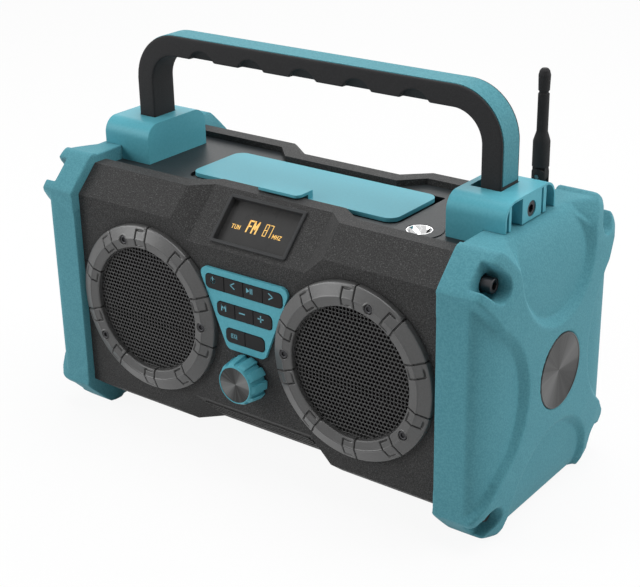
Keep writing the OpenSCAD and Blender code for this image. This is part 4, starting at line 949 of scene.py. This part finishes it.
# %% Socket screws on points
def screws(name, places, turn, radius, length, socket, finish):
    """Screw heads whose base sits on the given points; they rise along the turned Z axis."""
    outside = [(radius, 0), (radius, length - 0.18 * radius), (radius * 0.95, length - 0.06 * radius),
               (radius * 0.84, length), (socket * 1.18, length)]
    inside = [(socket, length - 0.3), (socket, length * 0.45), (socket * 0.1, length * 0.36)]
    loops = [screw_loop(*spot) for spot in outside] + [screw_loop(*spot, sides=6) for spot in inside]
    head = sharpened(lofted(name + "_source", loops, finish), 40)
    spots = bpy.data.meshes.new("spots")
    spots.from_pydata([tuple(np.array(place) * MM) for place in places], [], [])
    g = Grower(name + "_pattern", size=1.0)
    info = g.add("GeometryNodeObjectInfo", {}, {"Object": head}).outputs["Geometry"]
    scale = g.vector(*[g.size("size")] * 3)
    sockets = {"Points": g.start[0], "Instance": info, "Rotation": turn, "Scale": scale}
    copies = g.add("GeometryNodeInstanceOnPoints", {}, sockets).outputs[0]
    piece = g.grow(name, finish, copies, spots)
    bpy.data.objects.remove(head)
    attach(piece, "housing")
    return piece


screw_lo, screw_hi = box_mm("cap_screws")
BOLT = {"radius": 5.0, "length": 11.0, "socket": 2.7}
RING_BOLT = {"radius": 2.95, "length": 2.2, "socket": 1.8}
for side, name in ((1, "right_cap_screw_heads"), (-1, "left_cap_screw_heads")):
    base = side * (screw_hi[0] - BOLT["length"])
    spots = [(base, sy * (CAP_HALF - SCREW_IN[0]), CAP_MID + sz * (CAP_MID - SCREW_IN[1]))
             for sy in (-1, 1) for sz in (-1, 1)]
    screws(name, spots, (0, side * math.pi / 2, 0), finish=oxide, **BOLT)
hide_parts("cap_screws")
turns = np.radians(SCREW_TURNS)
spots = [(side * (RING_X - SCREW_R * math.cos(t)), RING_FRONT + SEAT_DEEP, RING_Z + SCREW_R * math.sin(t))
         for side in (-1, 1) for t in turns]
ring_heads = screws("ring_screw_heads", spots, (math.pi / 2, 0, 0), finish=oxide, **RING_BOLT)
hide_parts("ring_screws")
print("screw heads:", 8 + len(spots))

# %% [markdown]
# ## Display
# The bezel is a frame of loops: up its outside, over its rounded top and down to the glass. Amber
# strokes on the glass form the readout. Each stroke is a thin bar of plastic-like light, made as real
# geometry so that it stays crisp in any view.

# %% Bezel
_, bezel_hi = box_mm("display_bezel")
LIP_Z = box_mm("front_housing")[1][2]
BAY_ORIGIN = np.array([0, FACE_Y, LIP_Z])
TURN = np.array([list(row) for row in Matrix.Rotation(math.radians(45), 3, "X")])
BEZEL_X, BEZEL_Y, BEZEL_R, BEZEL_T = bezel_hi[0], 17.6, 1.6, 1.6
SCREEN_X, SCREEN_Y, SCREEN_R = 28.9, 15.4, 0.3
BAY_FLOOR, LENS_Z = -21.57, -24.57  # heights from the lip of the bay, square to the slope


def on_bay(points):
    """Points on the display bay, with x along the radio, y up the slope and z out of its floor."""
    return np.asarray(points, float) @ TURN.T + BAY_ORIGIN


outside = [(0, -0.4), (0, 1.2), (0.12, 1.45), (0.4, BEZEL_T)]
loops = [rounded_loop(BEZEL_X - inset, BEZEL_Y - inset, BEZEL_R - inset, BAY_FLOOR + rise)
         for inset, rise in outside]
inside = [(0.4, BAY_FLOOR + BEZEL_T), (0.12, BAY_FLOOR + 1.48), (0, BAY_FLOOR + 1.2), (0, LENS_Z - 0.1)]
loops += [rounded_loop(SCREEN_X + inset, SCREEN_Y + inset, SCREEN_R + inset, height)
          for inset, height in inside]
bezel = lofted("display_bezel_frame", [on_bay(loop) for loop in loops], bezel_dark, caps="none")
sharpened(bezel, 38)
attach(bezel, "housing")
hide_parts("display_bezel")
print("bezel mm:", 2 * BEZEL_X, "by", 2 * BEZEL_Y)

# %% Strokes for readout and legends
BOX = [(0, 0), (0, 1), (1, 1), (1, 0), (0, 0)]
GLYPHS = {
    "T": [[(0, 1), (1, 1)], [(0.5, 1), (0.5, 0)]],
    "U": [[(0, 1), (0, 0), (1, 0), (1, 1)]],
    "N": [[(0, 0), (0, 1), (1, 0), (1, 1)]],
    "F": [[(0, 0), (0, 1), (1, 1)], [(0, 0.52), (0.8, 0.52)]],
    "M": [[(0, 0), (0, 1), (0.5, 0.35), (1, 1), (1, 0)]],
    "H": [[(0, 0), (0, 1)], [(1, 0), (1, 1)], [(0, 0.5), (1, 0.5)]],
    "Z": [[(0, 1), (1, 1), (0, 0), (1, 0)]],
    "8": [BOX, [(0, 0.5), (1, 0.5)]],
    "7": [[(0, 1), (1, 1), (1, 0)]],
    "E": [[(1, 1), (0, 1), (0, 0), (1, 0)], [(0, 0.5), (0.8, 0.5)]],
    "Q": [BOX, [(0.6, 0.35), (1.1, -0.15)]],
}


class Strokes:
    """Collects strokes as thin prisms in a flat frame, then turns them into one piece."""

    def __init__(self, lift):
        self.points, self.faces, self.lift = [], [], lift

    def prism(self, outline):
        """Adds a filled shape, counter-clockwise, that rises a little from its base."""
        start, n = len(self.points), len(outline)
        self.points += [(x, y, z) for z in (0.0, self.lift) for x, y in outline]
        low, high = range(start, start + n), range(start + n, start + 2 * n)
        self.faces.append(tuple(high))
        self.faces += [(low[i - 1], low[i], high[i], high[i - 1]) for i in range(n)]

    def line(self, points, width):
        """A bar along each part of a polyline, long enough to close its corners."""
        for (x0, y0), (x1, y1) in zip(points[:-1], points[1:]):
            length = math.hypot(x1 - x0, y1 - y0)
            ax, ay = (x1 - x0) / length * width / 2, (y1 - y0) / length * width / 2
            self.prism([(x0 - ax + ay, y0 - ay - ax), (x1 + ax + ay, y1 + ay - ax),
                        (x1 + ax - ay, y1 + ay + ax), (x0 - ax - ay, y0 - ay + ax)])

    def letter(self, key, left, base, wide, tall, width, lean=0.0):
        for glyph in GLYPHS[key]:
            self.line([(left + x * wide + y * tall * lean, base + y * tall) for x, y in glyph], width)

    def arc(self, x, y, radius, start, end, width):
        turns = np.radians(np.linspace(start, end, 15))
        self.line([(x + radius * math.cos(t), y + radius * math.sin(t)) for t in turns], width)

    def piece(self, name, placed, finish, body):
        made = new_piece(name, placed(np.array(self.points)), self.faces, finish, smooth=False)
        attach(made, body)
        return made


# %% Readout
f = Finish("amber_readout")
glow = f.noise(0.5, 2.0)
amber = f.surface(
    Base_Color=f.blend(glow, tone(206, 150, 60), tone(250, 214, 130)), Roughness=0.5 + glow * 0.1,
    Emission_Color=f.blend(glow, tone(190, 130, 40), tone(240, 200, 110)), Emission_Strength=0.5)
readout = Strokes(0.08)
READOUT_AT = (-1.75, 0.75, LENS_Z + 0.02)
# Base line, height, stroke width and lean of some letters, then each letter's left side and width.
rows = [
    (-4.6, 2.6, 0.5, 0.0, (("T", -20.8, 1.6), ("U", -18.25, 1.6), ("N", -15.7, 1.6))),
    (-4.8, 7.9, 1.15, 0.03, (("F", -8.4, 2.6), ("M", -4.2, 3.3))),
    (-4.9, 8.2, 0.55, 0.02, (("8", 5.0, 2.3), ("7", 8.6, 2.3))),
    (-4.9, 2.5, 0.5, 0.05, (("M", 13.2, 1.8), ("H", 15.9, 1.5), ("Z", 18.3, 1.5))),
]
for base, tall, width, lean, letters in rows:
    for key, left, wide in letters:
        readout.letter(key, left, base, wide, tall, width, lean)
readout.piece("readout", lambda p: on_bay(p + READOUT_AT), amber, "housing")
print("readout strokes:", len(readout.faces) // 5)

# %% [markdown]
# ## Keys
# Each key carries a printed legend in the colour of the armour. A legend moves with its key, so each
# one is its own piece on its own body. The signs are the common ones for power, back, play and
# pause, forward, mode, quieter, louder and equalizer; the last key is blank.

# %% Legends
print_teal = grained("printed_legend", (104, 168, 184), 4, 0.6, 0.004, rough=0.5, sheen=0.4)
key_faces = {name: box_mm(name)[0][1] for name in nodes if name.endswith("_key")}


def legend(key, draw, at_x, at_z):
    """Draws a legend on the face of a key, around a point of the radio's front."""
    strokes = Strokes(0.05)
    draw(strokes)

    def placed(p):
        return np.stack([at_x + p[:, 0], key_faces[key] - 0.01 - p[:, 2], at_z + p[:, 1]], 1)

    strokes.piece(key + "_legend", placed, print_teal, key)


def chevron(out):
    """A sign that points left for -1 and right for 1."""
    return lambda s: s.line([(-1.6 * out, 2.0), (1.6 * out, 0), (-1.6 * out, -2.0)], 0.75)


def power_sign(s):
    s.arc(0, 0, 1.75, 130, 410, 0.65)
    s.line([(0, 0.3), (0, 2.5)], 0.65)


def play_sign(s):
    s.prism([(-2.6, -1.9), (0.1, 0), (-2.6, 1.9)])
    s.line([(0.8, -1.6), (0.8, 1.6)], 0.7)
    s.line([(2.2, -1.6), (2.2, 1.6)], 0.7)


def minus_sign(s):
    s.line([(-2.0, 0), (2.0, 0)], 0.9)


def plus_sign(s):
    minus_sign(s)
    s.line([(0, -2.0), (0, 2.0)], 0.9)


def mode_sign(s):
    s.letter("M", -1.7, -1.7, 3.4, 3.4, 0.85)


def equalizer_sign(s):
    s.letter("E", -2.4, -1.3, 1.7, 2.6, 0.6)
    s.letter("Q", 0.4, -1.3, 1.8, 2.6, 0.6)


signs = {
    "power": (power_sign, -25.6, 134.6), "back": (chevron(-1), -9.0, 134.8),
    "play": (play_sign, 5.4, 134.6), "forward": (chevron(1), 23.0, 134.8),
    "mode": (mode_sign, -17.2, 117.0), "volume_down": (minus_sign, -1.6, 116.8),
    "volume_up": (plus_sign, 14.0, 117.0), "equalizer": (equalizer_sign, -9.2, 98.7),
}
for word, (draw, x, z) in signs.items():
    legend(word + "_key", draw, x, z)
print("legends:", len(signs))

# %% [markdown]
# ## Knob
# Ten teeth like those of a ratchet give grip. The net of the knob runs around it and along it; the
# teeth lift the side and end in a small slope before the front, where a thin rim holds the turned
# disc. The disc is a shallow cone with brushed circles, and two wedges of highlight are painted into its
# colour.

# %% Knob body and disc
grip_lo, grip_hi = box_mm("tuning_knob")
KNOB_AT = (0, 0, (grip_lo[2] + grip_hi[2]) / 2)
KNOB_FRONT, KNOB_BACK = grip_lo[1], grip_hi[1]
KNOB_R, KNOB_DEEP, VALLEY_R = (grip_hi[0] - grip_lo[0]) / 2, 15, 14.1
TOOTH_STEP, TOOTH_SHIFT, TOOTH_SHARE, TOOTH_RAMP = 36, 0.42, 0.66, 0.034
# Depth from the back, radius between the teeth, and how much of a tooth stands there.
GRIP = [(0, 13.6, 0.5), (0.5, 14.1, 1), (1.2, 14.3, 1), (4, 14.1, 1), (8, 13.8, 1), (11.2, 13.55, 1),
        (11.7, 13.5, 0.97), (13.2, 13.45, 0.3), (13.6, 13.4, 0.04), (14.4, 13.35, 0), (14.8, 13.15, 0),
        (15.0, 12.95, 0), (15.0, 12.55, 0), (14.85, 12.4, 0), (14.3, 12.4, 0)]
DISC = [(12.4, 0.35), (12.1, 0.22), (11.7, 0.25), (8, 0.55), (4, 0.85), (1, 1.1), (0.2, 1.12)]


def tooth(turn):
    """How far a tooth stands out, from 0 to 1, at a turn in degrees."""
    share = (turn / TOOTH_STEP + TOOTH_SHIFT) % 1
    return np.clip(share / TOOTH_RAMP, 0, 1) * np.clip((TOOTH_SHARE - share) / TOOTH_RAMP, 0, 1)


turns = np.arange(0, 360, 1.2)
loops = []
for depth, valley, lift in GRIP:
    reach = valley + tooth(turns) * lift * (KNOB_R - VALLEY_R - 0.9 * depth / KNOB_DEEP)
    loops.append(turned_loop(1, KNOB_AT, KNOB_BACK - depth, reach, turns))
knob = lofted("tuning_knob_grip", loops, teal_gloss, caps="first")
sharpened(knob, 22)
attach(knob, "knob")
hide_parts("tuning_knob")
loops = [turned_loop(1, KNOB_AT, KNOB_FRONT + sink, r, np.arange(0, 360, 3.75)) for r, sink in DISC]
disc = lofted("knob_disc", loops, knob_spun)
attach(disc, "knob")
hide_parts("knob_face")
print("knob faces:", len(knob.data.polygons) + len(disc.data.polygons))

# %% [markdown]
# ## Medallions and lamp
# A medallion is a dished disc with a thin raised rim, spun from sheet. The lamp sits in a ring on the
# top: a bowl of flat plated facets spreads the light of a small emitter, under a clear window.

# %% Medallions
MEDAL_AT = (0, 0, (medal_lo[2] + medal_hi[2]) / 2)
# Radius and depth below the rim, from the back around the rim and over the dish to the middle.
section = [(MEDAL_R, 2.4), (MEDAL_R, 0.25), (MEDAL_R - 0.2, 0.05), (MEDAL_R - 0.5, 0),
           (MEDAL_R - 0.9, 0.1), (MEDAL_R - 1.1, 0.35), (18, 0.7), (12, 1.0), (6, 1.3), (1, 1.5), (0.3, 1.5)]
loops = [turned_loop(0, MEDAL_AT, medal_hi[0] - sink, r, np.arange(0, 360, 2.5)) for r, sink in section]
for side, name in ((1, "right_medallion"), (-1, "left_medallion")):
    medal = lofted(name + "_disc", np.array(loops) * (side, side, 1), medal_spun)
    sharpened(medal, 45)
    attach(medal, "housing")
    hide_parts(name)
print("medallion mm:", round(float(2 * MEDAL_R), 1))

# %% Lamp bowl
bowl_lo, bowl_hi = box_mm("lamp_reflector")
bowl_at, bowl_r = (bowl_lo + bowl_hi) / 2, (bowl_hi[0] - bowl_lo[0]) / 2
# Shares of the bowl's radius and height, and the turn of each loop: up the outside, down the facets.
outside = [(0.25, 0, 0), (1, 0.87, 0), (1, 1, 0), (0.92, 1, 0)]
facets = [(0.74, 0.7, 15), (0.52, 0.42, 0), (0.33, 0.22, 15), (0.2, 0.14, 0)]
loops = []
for share, height, turn in outside + facets:
    z = bowl_lo[2] + height * (bowl_hi[2] - bowl_lo[2])
    loops.append(turned_loop(2, bowl_at, z, bowl_r * share, turn + np.arange(0, 360, 30)))
bowl = lofted("lamp_bowl", loops, chrome, smooth=False, caps="both")
with edited(bowl.data) as mesh:
    bmesh.ops.triangulate(mesh, faces=mesh.faces)
    bmesh.ops.recalc_face_normals(mesh, faces=mesh.faces)
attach(bowl, "housing")
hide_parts("lamp_reflector")
print("bowl radius mm:", round(float(bowl_r), 1), "depth mm:", round(float(bowl_hi[2] - bowl_lo[2]), 1))

# %% [markdown]
# ## Stage
# A pale floor that keeps the shadow, four broad soft lamps, and a white surround. The surround is an
# even white for the camera and for reflections, and a plain grey level for the light itself.

# %% Camera
camera_data = bpy.data.cameras.new("camera")
camera = bpy.data.objects.new("camera", camera_data)
bpy.context.scene.collection.objects.link(camera)
bpy.context.scene.camera = camera
CAMERA_AT = Vector((543.3, -712.1, 493.9)) * MM
YAW, PITCH, ROLL = math.radians(37.3), math.radians(-23.6), math.radians(-1.1)
forward = Vector((-math.sin(YAW) * math.cos(PITCH), math.cos(YAW) * math.cos(PITCH), math.sin(PITCH)))
level = Vector((math.cos(YAW), math.sin(YAW), 0))
upright = level.cross(forward)
right = level * math.cos(ROLL) + upright * math.sin(ROLL)
above = upright * math.cos(ROLL) - level * math.sin(ROLL)
camera.matrix_world = Matrix.Translation(CAMERA_AT) @ Matrix((right, above, -forward)).transposed().to_4x4()
camera_data.lens, camera_data.sensor_width = 79.3, 36
camera_data.clip_start, camera_data.clip_end = 0.05, 20
print("camera is", round(CAMERA_AT.length, 2), "m away")

# %% Floor and surround
FLOOR_HALF, FLOOR_WHITE, WORLD_LIGHT = 6, 0.92, 0.16


def seen_share(network):
    """1 for rays of the camera, of a reflection or through clear plastic, and 0 for the light."""
    path = network.add("ShaderNodeLightPath").outputs
    seen = Number(network, path["Is Camera Ray"])
    for other in ("Is Glossy Ray", "Is Transmission Ray"):
        seen = network.maths("MAXIMUM", seen, path[other])
    return seen


scene = bpy.context.scene
scene.view_settings.view_transform = "Standard"
f = Finish("pale_floor")
seen = seen_share(f)
greys = f.blend(f.noise(700, 1.0), (0.86, 0.86, 0.86, 1), (0.9, 0.9, 0.9, 1))
pale = f.add("ShaderNodeBsdfDiffuse", {}, {"Color": greys}).outputs[0]
white = f.add("ShaderNodeEmission", {}, {"Color": (1, 1, 1, 1), "Strength": 1.0}).outputs[0]
either = f.add("ShaderNodeMixShader", {}, {0: seen * FLOOR_WHITE, 1: pale, 2: white}).outputs[0]
f.add("ShaderNodeOutputMaterial", {}, {"Surface": either})
corners = [(x * FLOOR_HALF, y * FLOOR_HALF, 0) for x, y in ((-1, -1), (1, -1), (1, 1), (-1, 1))]
floor = new_piece("floor", np.array(corners) / MM, [(0, 1, 2, 3)], f.material, smooth=False)

scene.world = bpy.data.worlds.new("surround")
scene.world.use_nodes = True
surround = Network(scene.world.node_tree)
seen = seen_share(surround)
lit, white = [surround.add("ShaderNodeBackground", {}, {"Color": (level, level, level, 1)}).outputs[0]
              for level in (WORLD_LIGHT, 1)]
either = surround.add("ShaderNodeMixShader", {}, {0: seen, 1: lit, 2: white}).outputs[0]
surround.add("ShaderNodeOutputWorld", {}, {"Surface": either})
print("floor and surround are set")


# %% Lamps
MIDDLE = Vector((0, 0, 0.1))


def soft_lamp(name, at, size, watts):
    """A broad lamp that faces the middle of the radio."""
    data = bpy.data.lights.new(name, "AREA")
    data.shape, data.size, data.size_y, data.energy = "RECTANGLE", size[0], size[1], watts
    lamp = bpy.data.objects.new(name, data)
    scene.collection.objects.link(lamp)
    lamp.location = at
    lamp.rotation_euler = (MIDDLE - Vector(at)).to_track_quat("-Z", "Y").to_euler()


soft_lamp("top_lamp", (0.1, 0.2, 1.5), (1.5, 1.1), 20)
soft_lamp("rear_lamp", (-1.3, 1.7, 1.2), (1.2, 1.2), 6)
soft_lamp("left_lamp", (-1.9, -1.65, 1.1), (1.4, 1.4), 34)
soft_lamp("right_lamp", (1.9, 1.4, 1.0), (1.3, 1.3), 22)
